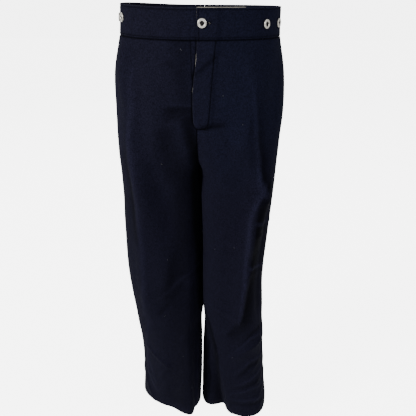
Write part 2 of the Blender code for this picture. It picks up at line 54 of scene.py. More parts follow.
sectionColumns = (
    "drop", "outer", "inner", "front", "back", "middle", "square", "innerSquare", "turn",
    "crease", "creaseAt",
)
rightSections = (
    (0.000, 0.1500, -0.1500, -0.112, 0.108, -0.004, 2.6, 2.6, 0, 0.000, 130),
    (0.047, 0.1545, -0.1545, -0.113, 0.110, -0.004, 2.6, 2.6, 0, 0.000, 130),
    (0.110, 0.1690, -0.1690, -0.117, 0.119, -0.004, 2.6, 2.6, 0, 0.000, 130),
    (0.170, 0.1728, -0.1728, -0.120, 0.127, -0.006, 2.5, 2.6, 0, 0.000, 130),
    (0.210, 0.1730, -0.0900, -0.121, 0.128, -0.008, 2.5, 2.8, 0, 0.000, 130),
    (0.235, 0.1735, -0.0500, -0.121, 0.126, -0.009, 2.5, 3.0, 0, 0.000, 130),
    (0.260, 0.1737, -0.0220, -0.120, 0.122, -0.009, 2.5, 3.1, 0, 0.000, 130),
    (0.280, 0.1738, -0.0070, -0.119, 0.117, -0.009, 2.5, 3.2, 0, 0.000, 130),
    (0.296, 0.1738, 0.0006, -0.118, 0.112, -0.008, 2.4, 3.2, 0, 0.000, 130),
    (0.360, 0.1745, -0.0004, -0.114, 0.098, -0.004, 2.3, 3.0, 0, 0.000, 130),
    (0.460, 0.1798, -0.0020, -0.106, 0.083, 0.001, 2.3, 2.6, 0, 0.001, 130),
    (0.580, 0.1820, -0.0022, -0.099, 0.070, -0.001, 2.2, 2.4, 1, 0.004, 130),
    (0.650, 0.1760, -0.0018, -0.096, 0.065, -0.006, 2.2, 2.3, 3, 0.008, 130),
    (0.700, 0.1710, -0.0014, -0.094, 0.062, -0.012, 2.1, 2.2, 6, 0.011, 130),
    (0.725, 0.1685, 0.0016, -0.093, 0.061, -0.015, 2.1, 2.1, 7, 0.012, 130),
    (0.790, 0.1635, 0.0006, -0.090, 0.058, -0.023, 1.9, 1.9, 10, 0.017, 130),
    (0.880, 0.1632, 0.0000, -0.086, 0.056, -0.029, 1.8, 1.8, 14, 0.022, 130),
    (1.000, 0.1728, 0.0026, -0.080, 0.054, -0.034, 1.7, 1.7, 16, 0.031, 130),
)
leftSections = (
    (0.000, 0.1500, -0.1500, -0.112, 0.108, -0.004, 2.2, 2.2, 0, 0.000, 150),
    (0.047, 0.1515, -0.1515, -0.113, 0.110, -0.004, 2.2, 2.2, 0, 0.000, 150),
    (0.110, 0.1630, -0.1630, -0.117, 0.119, -0.004, 2.4, 2.4, 0, 0.000, 150),
    (0.170, 0.1668, -0.1668, -0.120, 0.128, -0.006, 2.6, 2.6, 0, 0.000, 150),
    (0.210, 0.1650, -0.0900, -0.121, 0.130, -0.008, 2.8, 3.2, 0, 0.000, 150),
    (0.235, 0.1625, -0.0500, -0.121, 0.129, -0.009, 2.9, 3.6, 0, 0.000, 150),
    (0.260, 0.1610, -0.0220, -0.120, 0.126, -0.010, 3.0, 4.0, 0, 0.000, 150),
    (0.280, 0.1600, -0.0070, -0.119, 0.123, -0.012, 3.0, 4.2, 0, 0.000, 150),
    (0.296, 0.1590, 0.0006, -0.119, 0.120, -0.013, 3.1, 4.2, 0, 0.000, 150),
    (0.360, 0.1560, 0.0010, -0.117, 0.106, -0.022, 3.2, 4.0, 0, 0.000, 150),
    (0.460, 0.1495, 0.0042, -0.113, 0.094, -0.030, 3.2, 3.8, 0, 0.000, 150),
    (0.580, 0.1450, 0.0034, -0.109, 0.080, -0.030, 3.1, 3.4, 0, 0.000, 148),
    (0.650, 0.1490, 0.0024, -0.107, 0.072, -0.026, 3.0, 3.2, 0, -0.002, 145),
    (0.720, 0.1522, 0.0048, -0.106, 0.065, -0.020, 2.9, 2.8, 0, -0.007, 141),
    (0.790, 0.1572, 0.0020, -0.105, 0.060, -0.008, 2.7, 2.7, 0, -0.015, 136),
    (0.835, 0.1600, 0.0000, -0.105, 0.057, -0.005, 2.6, 2.6, 0, -0.020, 131),
    (0.880, 0.1630, -0.0006, -0.105, 0.054, -0.004, 2.9, 2.5, -1, -0.025, 126),
    (1.000, 0.1755, -0.0022, -0.104, 0.046, -0.018, 3.1, 2.4, -3, -0.038, 115),
)
centreColumns = ("drop", "shift")
centreLine = (
    (0.000, 0.000), (0.047, 0.000), (0.110, -0.002), (0.170, -0.003), (0.210, -0.002),
    (0.250, -0.001), (0.296, 0.000), (0.360, 0.000), (1.000, 0.000),
)
stillEdge = {"foldTop": 0.030, "foldSide": 0.018, "creaseTop": 0.010, "creaseSide": 0.008}
foldColumns = ("face", "along", "drop", "toAlong", "toDrop", "width", "height", "fade")
folds = (  # the large ones, which the solids have too
    ("front", 0.100, 0.110, 0.120, 0.240, 0.020, 0.0040, 0.040),
    ("front", 0.125, 0.240, 0.205, 0.345, 0.019, 0.0060, 0.030),
    ("front", 0.205, 0.345, 0.168, 0.450, 0.019, 0.0080, 0.030),
    ("front", 0.168, 0.450, 0.150, 0.650, 0.019, 0.0085, 0.060),
    ("front", 0.215, 0.420, 0.200, 0.640, 0.018, -0.0070, 0.050),
    ("front", -0.145, 0.080, -0.196, 0.330, 0.018, 0.0070, 0.060),
    ("front", -0.196, 0.330, -0.191, 0.620, 0.018, 0.0065, 0.060),
    ("front", -0.052, 0.200, -0.135, 0.420, 0.030, -0.0095, 0.060),
    ("front", -0.135, 0.420, -0.107, 0.600, 0.028, -0.0060, 0.060),
    ("front", -0.018, 0.870, -0.018, 1.000, 0.014, 0.0050, 0.020),
    ("front", -0.120, 0.100, -0.160, 0.330, 0.016, -0.0030, 0.050),
    ("front", 0.165, 0.120, 0.185, 0.280, 0.026, -0.0060, 0.050),
    ("front", -0.085, 0.560, -0.144, 0.640, 0.022, -0.0045, 0.040),
    ("front", 0.212, 0.735, 0.161, 0.775, 0.016, 0.0040, 0.030),
    ("front", 0.045, 0.225, 0.120, 0.300, 0.024, 0.0030, 0.040),
    ("back", -0.080, 0.100, -0.095, 0.240, 0.022, -0.0035, 0.050),
    ("back", 0.080, 0.100, 0.095, 0.240, 0.022, -0.0035, 0.050),
    ("back", -0.114, 0.360, -0.190, 0.330, 0.018, 0.0045, 0.030),
    ("back", 0.090, 0.360, 0.190, 0.330, 0.018, 0.0045, 0.030),
    ("back", -0.082, 0.560, -0.180, 0.600, 0.020, 0.0050, 0.040),
    ("back", 0.060, 0.540, 0.160, 0.585, 0.020, 0.0050, 0.040),
)
creases = (  # the small ones, a few millimetres wide
    ("front", 0.180, 0.360, 0.228, 0.352, 0.0060, 0.0016, 0.012),
    ("front", 0.150, 0.425, 0.215, 0.440, 0.0070, 0.0018, 0.015),
    ("front", 0.158, 0.530, 0.212, 0.548, 0.0070, 0.0016, 0.015),
    ("front", 0.214, 0.744, 0.166, 0.760, 0.0060, 0.0026, 0.015),
    ("front", 0.239, 0.800, 0.187, 0.842, 0.0070, 0.0020, 0.015),
    ("front", 0.267, 0.850, 0.215, 0.886, 0.0065, 0.0018, 0.014),
    ("front", 0.274, 0.896, 0.215, 0.940, 0.0065, 0.0020, 0.014),
    ("front", 0.272, 0.940, 0.223, 0.978, 0.0060, 0.0016, 0.012),
    ("front", 0.176, 0.384, 0.167, 0.520, 0.0065, 0.0024, 0.020),
    ("front", 0.167, 0.520, 0.147, 0.632, 0.0060, 0.0030, 0.020),
    ("front", 0.112, 0.140, 0.126, 0.268, 0.0070, 0.0016, 0.030),
    ("front", 0.043, 0.672, 0.094, 0.776, 0.0060, 0.0016, 0.020),
    ("front", 0.094, 0.776, 0.131, 0.952, 0.0060, 0.0020, 0.010),
    ("front", 0.012, 0.235, 0.070, 0.275, 0.0060, -0.0010, 0.012),
    ("front", 0.010, 0.250, 0.048, 0.335, 0.0060, 0.0011, 0.012),
    ("front", -0.012, 0.232, -0.075, 0.262, 0.0065, 0.0012, 0.014),
    ("front", -0.010, 0.252, -0.056, 0.330, 0.0060, -0.0011, 0.014),
    ("front", -0.175, 0.800, -0.122, 0.840, 0.0060, 0.0022, 0.014),
    ("front", -0.122, 0.848, -0.158, 0.926, 0.0065, 0.0022, 0.014),
    ("front", -0.214, 0.905, -0.176, 0.985, 0.0070, 0.0026, 0.014),
    ("front", -0.205, 0.880, -0.165, 0.905, 0.0060, 0.0012, 0.014),
    ("front", -0.060, 0.880, -0.095, 0.915, 0.0060, 0.0012, 0.014),
    ("front", -0.121, 0.455, -0.170, 0.430, 0.0080, 0.0010, 0.018),
    ("front", -0.094, 0.640, -0.147, 0.662, 0.0080, 0.0012, 0.018),
    ("front", 0.098, 0.640, 0.150, 0.668, 0.0080, 0.0011, 0.018),
    ("front", 0.040, 0.070, 0.062, 0.105, 0.0070, 0.0007, 0.014),
    ("front", -0.050, 0.062, -0.060, 0.100, 0.0070, 0.0006, 0.014),
    ("back", -0.020, 0.300, -0.085, 0.335, 0.0080, 0.0014, 0.016),
    ("back", 0.020, 0.300, 0.085, 0.335, 0.0080, 0.0014, 0.016),
    ("back", -0.143, 0.540, -0.209, 0.525, 0.0080, 0.0016, 0.016),
    ("back", 0.120, 0.515, 0.185, 0.500, 0.0080, 0.0016, 0.016),
    ("back", -0.089, 0.625, -0.158, 0.645, 0.0080, 0.0014, 0.016),
    ("back", 0.070, 0.618, 0.140, 0.640, 0.0080, 0.0014, 0.016),
    ("back", -0.080, 0.860, -0.140, 0.890, 0.0070, 0.0014, 0.016),
    ("back", 0.109, 0.850, 0.167, 0.885, 0.0070, 0.0014, 0.016),
    ("back", -0.050, 0.060, -0.062, 0.110, 0.0075, 0.0007, 0.014),
    ("back", 0.050, 0.060, 0.062, 0.110, 0.0075, 0.0007, 0.014),
)
# Painted shade in the hollows of the two fronts and painted highlight on sharp ridges (below 0); dark
# strokes also sink the cloth a little and light ones raise it. A stroke has a width on each side, and
# places with a strength along its line.
strokeColumns = ("towardsCentre", "towardsSide", "line")
strokes = (
    (0.0055, 0.0035, (
        (0.102, 0.128, -0.25), (0.109, 0.172, -0.50), (0.136, 0.232, -0.60), (0.187, 0.280, -0.60),
        (0.199, 0.316, -0.60), (0.203, 0.330, -0.45),
    )),
    (0.0050, 0.0035, (
        (0.201, 0.332, -0.50), (0.188, 0.356, -0.75), (0.173, 0.392, -0.80), (0.160, 0.468, -0.85),
        (0.155, 0.564, -0.80), (0.150, 0.640, -0.55), (0.144, 0.668, -0.25),
    )),
    (0.0040, 0.0140, (
        (0.118, 0.170, 0.20), (0.145, 0.232, 0.45),
        (0.190, 0.272, 0.60), (0.208, 0.304, 0.75), (0.212, 0.322, 0.75),
    )),
    (0.0040, 0.0260, (
        (0.197, 0.352, 0.75), (0.187, 0.392, 0.85), (0.173, 0.468, 0.85), (0.167, 0.556, 0.82),
        (0.162, 0.604, 0.80), (0.153, 0.660, 0.70), (0.122, 0.708, 0.40),
    )),
    (0.0040, 0.0040, ((0.239, 0.420, -0.45), (0.192, 0.404, -0.45))),
    (0.0040, 0.0040, ((0.206, 0.528, -0.45), (0.168, 0.516, -0.45))),
    (0.0040, 0.0040, ((0.207, 0.724, -0.55), (0.171, 0.726, -0.60), (0.151, 0.752, -0.30))),
    (0.0060, 0.0050, ((0.207, 0.706, 0.45), (0.177, 0.710, 0.50), (0.158, 0.736, 0.40))),
    (0.0040, 0.0040, ((0.228, 0.806, -0.55), (0.185, 0.802, -0.55), (0.161, 0.828, -0.30))),
    (0.0060, 0.0060, ((0.228, 0.822, 0.50), (0.188, 0.820, 0.50), (0.166, 0.845, 0.30))),
    (0.0040, 0.0040, ((0.243, 0.848, -0.50), (0.192, 0.866, -0.55), (0.172, 0.874, -0.30))),
    (0.0060, 0.0050, ((0.246, 0.880, 0.45), (0.198, 0.884, 0.45), (0.170, 0.892, 0.25))),
    (0.0040, 0.0040, ((0.254, 0.910, -0.45), (0.194, 0.898, -0.45), (0.156, 0.912, -0.25))),
    (0.0040, 0.0040, ((0.255, 0.952, -0.50), (0.197, 0.937, -0.50), (0.156, 0.936, -0.25))),
    (0.0050, 0.0050, ((0.256, 0.968, 0.40), (0.200, 0.955, 0.45), (0.160, 0.952, 0.25))),
    (0.0240, 0.0030, (
        (0.046, 0.640, 0.20), (0.054, 0.664, 0.50), (0.068, 0.704, 0.60), (0.087, 0.752, 0.60),
        (0.103, 0.796, 0.60), (0.104, 0.860, 0.60), (0.098, 0.936, 0.60), (0.103, 0.996, 0.50),
    )),
    (0.0030, 0.0030, (
        (0.054, 0.764, 0.55), (0.059, 0.836, 0.60), (0.070, 0.904, 0.60), (0.064, 0.976, 0.50),
    )),
    (0.0180, 0.0140, (
        (0.012, 0.690, 0.45), (0.020, 0.740, 0.55), (0.045, 0.800, 0.50), (0.050, 1.000, 0.45),
    )),
    (0.0080, 0.0050, (
        (-0.127, 0.112, -0.30), (-0.126, 0.176, -0.45), (-0.161, 0.236, -0.50), (-0.199, 0.284, -0.50),
        (-0.206, 0.332, -0.50), (-0.206, 0.404, -0.45), (-0.199, 0.476, -0.40), (-0.195, 0.572, -0.45),
        (-0.194, 0.672, -0.25),
    )),
    (0.0040, 0.0120, (
        (-0.190, 0.256, 0.30), (-0.218, 0.320, 0.50), (-0.218, 0.396, 0.50), (-0.211, 0.460, 0.40),
    )),
    (0.0060, 0.0060, (
        (-0.178, 0.700, -0.30), (-0.186, 0.788, -0.40), (-0.184, 0.840, -0.45), (-0.163, 0.900, -0.25),
    )),
    (0.0050, 0.0050, ((-0.190, 0.840, -0.50), (-0.183, 0.904, -0.50), (-0.163, 0.936, -0.40))),
    (0.0040, 0.0220, ((-0.049, 0.170, 0.60), (-0.009, 0.168, 0.65))),
    (0.0160, 0.0160, (
        (-0.016, 0.190, 0.75), (-0.034, 0.235, 0.88), (-0.066, 0.290, 0.92), (-0.075, 0.348, 0.92),
        (-0.070, 0.440, 0.90), (-0.051, 0.520, 0.85), (-0.041, 0.588, 0.80), (-0.028, 0.664, 0.70),
    )),
    (0.0120, 0.0100, ((-0.014, 0.740, 0.50), (-0.006, 0.940, 0.60))),
    (0.0300, 0.0220, (
        (-0.075, 0.220, 0.35), (-0.110, 0.330, 0.50), (-0.110, 0.450, 0.50), (-0.120, 0.560, 0.40),
    )),
    (0.0500, 0.0450, ((-0.105, 0.600, 0.38), (-0.090, 0.960, 0.32))),
    (0.0140, 0.0140, (
        (-0.126, 0.496, 0.45), (-0.131, 0.560, 0.50), (-0.141, 0.612, 0.40), (-0.122, 0.630, 0.40),
    )),
    (0.0050, 0.0050, (
        (-0.022, 0.544, -0.15), (-0.061, 0.548, -0.22), (-0.106, 0.568, -0.22), (-0.134, 0.600, -0.20),
        (-0.168, 0.624, -0.12),
    )),
    (0.0070, 0.0080, ((-0.150, 0.660, 0.45), (-0.105, 0.590, 0.45))),
    (0.0080, 0.0080, ((-0.044, 0.092, 0.30), (-0.010, 0.112, 0.30))),
    (0.0060, 0.0060, ((-0.037, 0.056, 0.30), (-0.022, 0.068, 0.30))),
    (0.0040, 0.0040, ((0.009, 0.100, 0.50), (0.026, 0.084, 0.45))),
    (0.0040, 0.0060, ((0.020, 0.202, 0.75), (0.041, 0.199, 0.60))),
    (0.0300, 0.0200, ((-0.192, 0.070, -0.20), (-0.200, 0.150, -0.35), (-0.222, 0.250, -0.25))),
    (0.0120, 0.0200, ((-0.022, 0.060, 0.30), (-0.018, 0.150, 0.35))),
    (0.0120, 0.0200, ((0.215, 0.360, 0.45), (0.208, 0.470, 0.45), (0.200, 0.640, 0.40))),
)
strokeLook = {"hollow": 0.0011, "ridge": 0.0022, "fade": 0.016, "power": 2.4}
flyColumns = ("drop", "edge", "under", "stitch")
flyLines = (  # the lap's edge, the right front's edge under it and the stitched line
    (0.000, -0.0005, 0.0060, 0.0322), (0.0515, -0.0005, 0.0060, 0.0322),
    (0.084, -0.0010, 0.0060, 0.0302), (0.110, -0.0040, 0.0060, 0.0287),
    (0.136, -0.0060, 0.0060, 0.0272), (0.168, -0.0058, 0.0060, 0.0252),
    (0.1915, -0.0052, 0.0058, 0.0227), (0.1975, -0.0042, 0.0045, 0.0207),
    (0.2015, -0.0022, 0.0015, 0.0182), (0.2035, 0.0, 0.0, 0.0150),
    (0.2185, 0.0, 0.0, 0.0180), (0.296, 0.0, 0.0, 0.0600), (1.000, 0.0, 0.0, 0.0700),
)

drape = {  # soft unevenness over all the cloth
    "ripple": 0.0011, "rippleAcross": 17.0, "rippleDown": 4.5,
    "pucker": 0.00028, "puckerAcross": 52.0, "puckerDown": 26.0,
    "bandShare": 0.35, "seed": 3.7,
}
grid = {"rows": 501, "around": 261, "step": 0.0035, "bandStep": 0.0022}

denseDrops = np.linspace(0.0, cut["outseam"], grid["rows"])
quarter = np.linspace(0.0, 1.0, grid["around"] // 2 + 1)
quarter = quarter**1.35 / (quarter**1.35 + (1 - quarter) ** 1.35)
around = np.concatenate([quarter, 1 + quarter[1:]])[::-1] * math.pi / 2


def readTable(table, columns, name, drop):
    rows = np.array(table)
    at, values = rows[:, 0], rows[:, columns.index(name)]
    slopes = np.gradient(values, at)
    i = np.clip(np.searchsorted(at, drop) - 1, 0, len(at) - 2)
    step = at[i + 1] - at[i]
    u = np.clip((drop - at[i]) / step, 0.0, 1.0)
    start = (2 * u**3 - 3 * u**2 + 1) * values[i] + (u**3 - 2 * u**2 + u) * step * slopes[i]
    end = (3 * u**2 - 2 * u**3) * values[i + 1] + (u**3 - u**2) * step * slopes[i + 1]
    return start + end


def flyLine(name, drop):
    rows = np.array(flyLines)
    return np.interp(drop, rows[:, 0], rows[:, flyColumns.index(name)])


def rightLine(drop):  # the line along the right front, just beside the fly's edge
    return np.interp(drop, (0.052, 0.072, 0.112, 0.130), (0.0115, 0.0105, 0.0075, 0.0065))


def smoothStep(low, high, value):
    u = np.clip((value - low) / (high - low), 0.0, 1.0)
    return u * u * (3 - 2 * u)


def sectionsOf(side, face):
    table = rightSections if side == "right" else leftSections
    row = {}
    for name in sectionColumns[1:]:
        row[name] = readTable(table, sectionColumns, name, denseDrops)[:, None]
    joined = denseDrops[:, None] <= cut["joinedDrop"]
    row["inner"] = np.where(joined, -row["outer"], row["inner"])
    centre = (row["outer"] + row["inner"]) / 2
    halfWidth = (row["outer"] - row["inner"]) / 2
    cutAt = np.clip(centre / halfWidth, 0.0, 1.0)
    cutAt = np.where(denseDrops[:, None] < cut["crotchDrop"], cutAt, 1.0)
    starts = np.arccos(-(cutAt ** (row["innerSquare"] / 2)))
    across, along = np.cos(around), np.sin(around)
    power = 2 / np.where(across < 0, row["innerSquare"], row["square"])
    x = halfWidth * np.sign(across) * np.abs(across) ** power
    depth = row["front"] - row["middle"] if face == "front" else row["back"] - row["middle"]
    y = depth * np.abs(along) ** power
    signed = around if face == "front" else -around
    away = signed - np.radians(row["creaseAt"]) + math.pi
    away = away % (2 * math.pi) - math.pi
    bump = row["crease"] * np.exp(-((away / math.radians(creaseWidth[side])) ** 2))
    grow = 1 + bump / np.hypot(x, y)
    x, y = x * grow, y * grow
    turn = np.radians(row["turn"])
    out = centre + x * np.cos(turn) - y * np.sin(turn)
    back = row["middle"] + x * np.sin(turn) + y * np.cos(turn)
    worldX = sides[side] * out
    shift = readTable(centreLine, centreColumns, "shift", denseDrops)[:, None]
    worldX = worldX + shift * np.clip(1 - np.abs(worldX) / row["outer"], 0.0, 1.0)
    lift = cut["rightLift"] * np.clip(-worldX / row["outer"], 0.0, 1.0) ** 2
    lift = lift * (1 - smoothStep(0.0, cut["rightLiftEnd"], denseDrops[:, None]))
    return np.stack([worldX, back, topZ - denseDrops[:, None] + lift], axis=2), starts


def normalsOf(points, side, face):
    normal = np.cross(np.gradient(points, axis=1), np.gradient(points, axis=0))
    if (side == "right") != (face == "front"):
        normal = -normal
    return normal / np.linalg.norm(normal, axis=2, keepdims=True)


def missingWidth(totals):  # what the centre seam cuts off each row above the crotch
    ends = np.interp((cut["flyEnd"], cut["crotchDrop"]), denseDrops, totals)
    whole = np.interp(denseDrops, (cut["flyEnd"], cut["crotchDrop"]), ends)
    inside = (denseDrops > cut["flyEnd"]) & (denseDrops < cut["crotchDrop"])
    return np.where(inside, np.maximum(whole - totals, 0.0), 0.0)


def foldHeights(table, face, side, fromSide, totals):
    height = np.zeros_like(fromSide)
    for row in table:
        fold = dict(zip(foldColumns, row))
        if fold["face"] != face or fold["along"] * sides[side] < 0:
            continue
        start = np.interp(fold["drop"], denseDrops, totals) - abs(fold["along"])
        end = np.interp(fold["toDrop"], denseDrops, totals) - abs(fold["toAlong"])
        run = np.array([end - start, fold["toDrop"] - fold["drop"]])
        length = np.linalg.norm(run)
        run = run / length
        dx, dz = fromSide - start, denseDrops[:, None] - fold["drop"]
        on = dx * run[0] + dz * run[1]
        off = dx * run[1] - dz * run[0]
        past = np.maximum(np.maximum(-on, on - length), 0.0)
        fade = np.exp(-((off / fold["width"]) ** 2) - (past / fold["fade"]) ** 2)
        height += fold["height"] * fade
    return height


def bell(distance, width):
    return np.exp(-((distance / width) ** 2))


def strokesAt(side, fromSide, drop, totals):  # how much painted shade and painted highlight the strokes put on a front
    fromSide, drop = np.broadcast_arrays(fromSide, drop)
    dark, light = np.zeros(fromSide.shape), np.zeros(fromSide.shape)
    for row in strokes:
        stroke = dict(zip(strokeColumns, row))
        if stroke["line"][0][0] * sides[side] < 0:
            continue
        line = np.array(stroke["line"])
        xs = np.interp(line[:, 1], denseDrops, totals) - np.abs(line[:, 0])
        best, signed = np.full(fromSide.shape, np.inf), np.zeros(fromSide.shape)
        past, level = np.zeros(fromSide.shape), np.zeros(fromSide.shape)
        last = len(line) - 2
        for i in range(last + 1):
            run = np.array([xs[i + 1] - xs[i], line[i + 1, 1] - line[i, 1]])
            length = np.linalg.norm(run)
            run = run / length
            dx, dz = fromSide - xs[i], drop - line[i, 1]
            on, off = dx * run[0] + dz * run[1], dx * run[1] - dz * run[0]
            clipped = np.clip(on, 0.0, length)
            away = np.hypot(off, on - clipped)
            near = away < best
            best = np.where(near, away, best)
            over = np.maximum(-on if i == 0 else 0.0, on - length if i == last else 0.0)
            past = np.where(near, np.maximum(over, 0.0), past)
            beside = np.where(over > 0, np.abs(off), away)
            signed = np.where(near, np.where(off < 0, -beside, beside), signed)
            strength = line[i, 2] + (line[i + 1, 2] - line[i, 2]) * clipped / length
            level = np.where(near, strength, level)
        width = np.where(signed > 0, stroke["towardsCentre"], stroke["towardsSide"])
        across = (np.abs(signed) / width) ** strokeLook["power"]
        fade = np.exp(-across - (past / strokeLook["fade"]) ** 2)
        dark = np.maximum(dark, np.maximum(level, 0.0) * fade)
        light = np.maximum(light, np.maximum(-level, 0.0) * fade)
    return dark, light


def unevenness(points):
    ripple, pucker = [], []
    for x, y, z in points.reshape(-1, 3).tolist():
        across, down = drape["rippleAcross"], drape["rippleDown"]
        ripple.append(noise.noise(Vector((x * across + drape["seed"], y * across, z * down))))
        across, down = drape["puckerAcross"], drape["puckerDown"]
        pucker.append(noise.noise(Vector((x * across, y * across + drape["seed"], z * down))))
    height = drape["ripple"] * np.array(ripple) + drape["pucker"] * np.array(pucker)
    return height.reshape(points.shape[:2])


def quietAt(kind, fromSide, along):  # folds fade out below the waistband and at the seams
    top, edge = stillEdge[kind + "Top"], stillEdge[kind + "Side"]
    below = smoothStep(cut["bandDepth"], cut["bandDepth"] + top, denseDrops[:, None])
    return below * smoothStep(0.0, edge, fromSide) * smoothStep(0.0, edge, along)


def fromAngles(values, angles):
    return np.array([np.interp(a, around[::-1], row[::-1]) for row, a in zip(values, angles)])


def makeSurface():
    made = {}
    drops = denseDrops[:, None]
    for side in sides:
        for face in ("front", "back"):
            points, starts = sectionsOf(side, face)
            steps = np.linalg.norm(np.diff(points, axis=1), axis=2)
            along = np.concatenate([np.zeros((len(points), 1)), np.cumsum(steps, axis=1)], axis=1)
            along = along - fromAngles(along, starts)
            missing = missingWidth(along[:, -1])
            totals = along[:, -1] + missing
            fromSide = along[:, -1:] - along
            quiet = quietAt("fold", fromSide, along)
            heights = foldHeights(folds, face, side, fromSide, totals) * quiet
            quiet = quietAt("crease", fromSide, along)
            heights += foldHeights(creases, face, side, fromSide, totals) * quiet
            if face == "front":
                dark, light = strokesAt(side, fromSide, drops, totals)
                relief = strokeLook["ridge"] * light - strokeLook["hollow"] * dark * (1 - light)
                heights += relief * quiet
            share = drape["bandShare"]
            share = share + (1 - share) * smoothStep(0.03, 0.10, drops)
            heights += unevenness(points) * share
            points = points + normalsOf(points, side, face) * heights[..., None]
            normals = normalsOf(points, side, face)
            angles = starts / math.pi * around
            sheet = {"along": fromAngles(along, angles), "missing": missing, "totals": totals}
            for name, values in (("points", points), ("normals", normals)):
                axes = [fromAngles(values[..., k], angles) for k in range(3)]
                sheet[name] = np.stack(axes, axis=2)
            made[side, face] = sheet
    joined = denseDrops < cut["crotchDrop"] - 0.001
    pairs = [
        (made["right", face]["normals"], made["left", face]["normals"], joined, 0)
        for face in ("front", "back")
    ]
    for side in sides:
        front, back = made[side, "front"]["normals"], made[side, "back"]["normals"]
        pairs.append((front, back, ~joined, 0))
        pairs.append((front, back, np.full(len(joined), True), -1))
    for one, other, rows, edge in pairs:  # pieces that meet at a seam share its normals
        shared = one[rows, edge] + other[rows, edge]
        shared /= np.linalg.norm(shared, axis=1, keepdims=True)
        one[rows, edge] = shared
        other[rows, edge] = shared
    return made


surface = makeSurface()
print("cloth surface worked out,", grid["rows"], "rows")


def reachOf(side, face, drop):
    return float(np.interp(drop, denseDrops, surface[side, face]["along"][:, -1]))


def onFace(face, along, drop):
    along = np.atleast_1d(np.asarray(along, float))
    points, normals = np.zeros((len(along), 3)), np.zeros((len(along), 3))
    at = min(max(drop, 0.0) / cut["outseam"] * (len(denseDrops) - 1), len(denseDrops) - 1.0001)
    low = int(at)
    for side, sign in sides.items():
        chosen = (along >= 0) == (sign > 0)
        sheet = surface[side, face]
        fromSide = reachOf(side, face, drop) - np.abs(along[chosen])
        for row, share in ((low, 1 - at + low), (low + 1, at - low)):
            lengths = sheet["along"][row]
            atRow = np.maximum(lengths[-1] - fromSide, 0.0)
            for k in range(3):
                points[chosen, k] += share * np.interp(atRow, lengths, sheet["points"][row, :, k])
                normals[chosen, k] += share * np.interp(atRow, lengths, sheet["normals"][row, :, k])
    return points, normals / np.linalg.norm(normals, axis=1, keepdims=True)


def onBand(along, drop):  # the waistband runs on past the side seam to the centre back
    along = np.atleast_1d(np.asarray(along, float))
    points, normals = np.zeros((len(along), 3)), np.zeros((len(along), 3))
    for side, sign in sides.items():
        chosen = (along >= 0) == (sign > 0)
        front, back = reachOf(side, "front", drop), reachOf(side, "back", drop)
        ahead = chosen & (np.abs(along) <= front)
        behind = chosen & ~ahead
        if ahead.any():
            points[ahead], normals[ahead] = onFace("front", along[ahead], drop)
        if behind.any():
            rest = np.maximum(front + back - np.abs(along[behind]), 1e-9)
            points[behind], normals[behind] = onFace("back", rest * sign, drop)
    if drop < 0:
        points = points + (points - onBand(along, 0.004)[0]) / 0.004 * -drop
    return points, normals


def lapHeight(along, drop):  # how far the left side stands out over the layers of the fly
    stitch = flyLine("stitch", drop)
    sideSlope = 1 - smoothStep(stitch, stitch + cut["lapSlope"], along)
    sharp = 1 - smoothStep(cut["flyEnd"] + 0.0006, cut["flyEnd"] + 0.0030, drop)
    soft = 1 - smoothStep(cut["flyEnd"] + 0.0010, cut["flyEnd"] + cut["lapFoot"], drop)
    corner = smoothStep(0.012, 0.020, along)
    return cut["lapHeight"] * sideSlope * (sharp * (1 - corner) + soft * corner)


def noLift(along, drop):
    return np.zeros_like(along)


# Materials

class Wire:  # one shader value, so that sums and products of sockets read as plain maths
    def __init__(self, material, socket):
        self.material, self.socket = material, socket

    def join(self, operation, other, swapped=False):
        ends = [other, self] if swapped else [self, other]
        return self.material.add("ShaderNodeMath", {"operation": operation}, {0: ends[0], 1: ends[1]})

    def __add__(self, other):
        return self.join("ADD", other)

    def __radd__(self, other):
        return self.join("ADD", other, True)

    def __sub__(self, other):
        return self.join("SUBTRACT", other)

    def __rsub__(self, other):
        return self.join("SUBTRACT", other, True)

    def __mul__(self, other):
        return self.join("MULTIPLY", other)

    def __rmul__(self, other):
        return self.join("MULTIPLY", other, True)


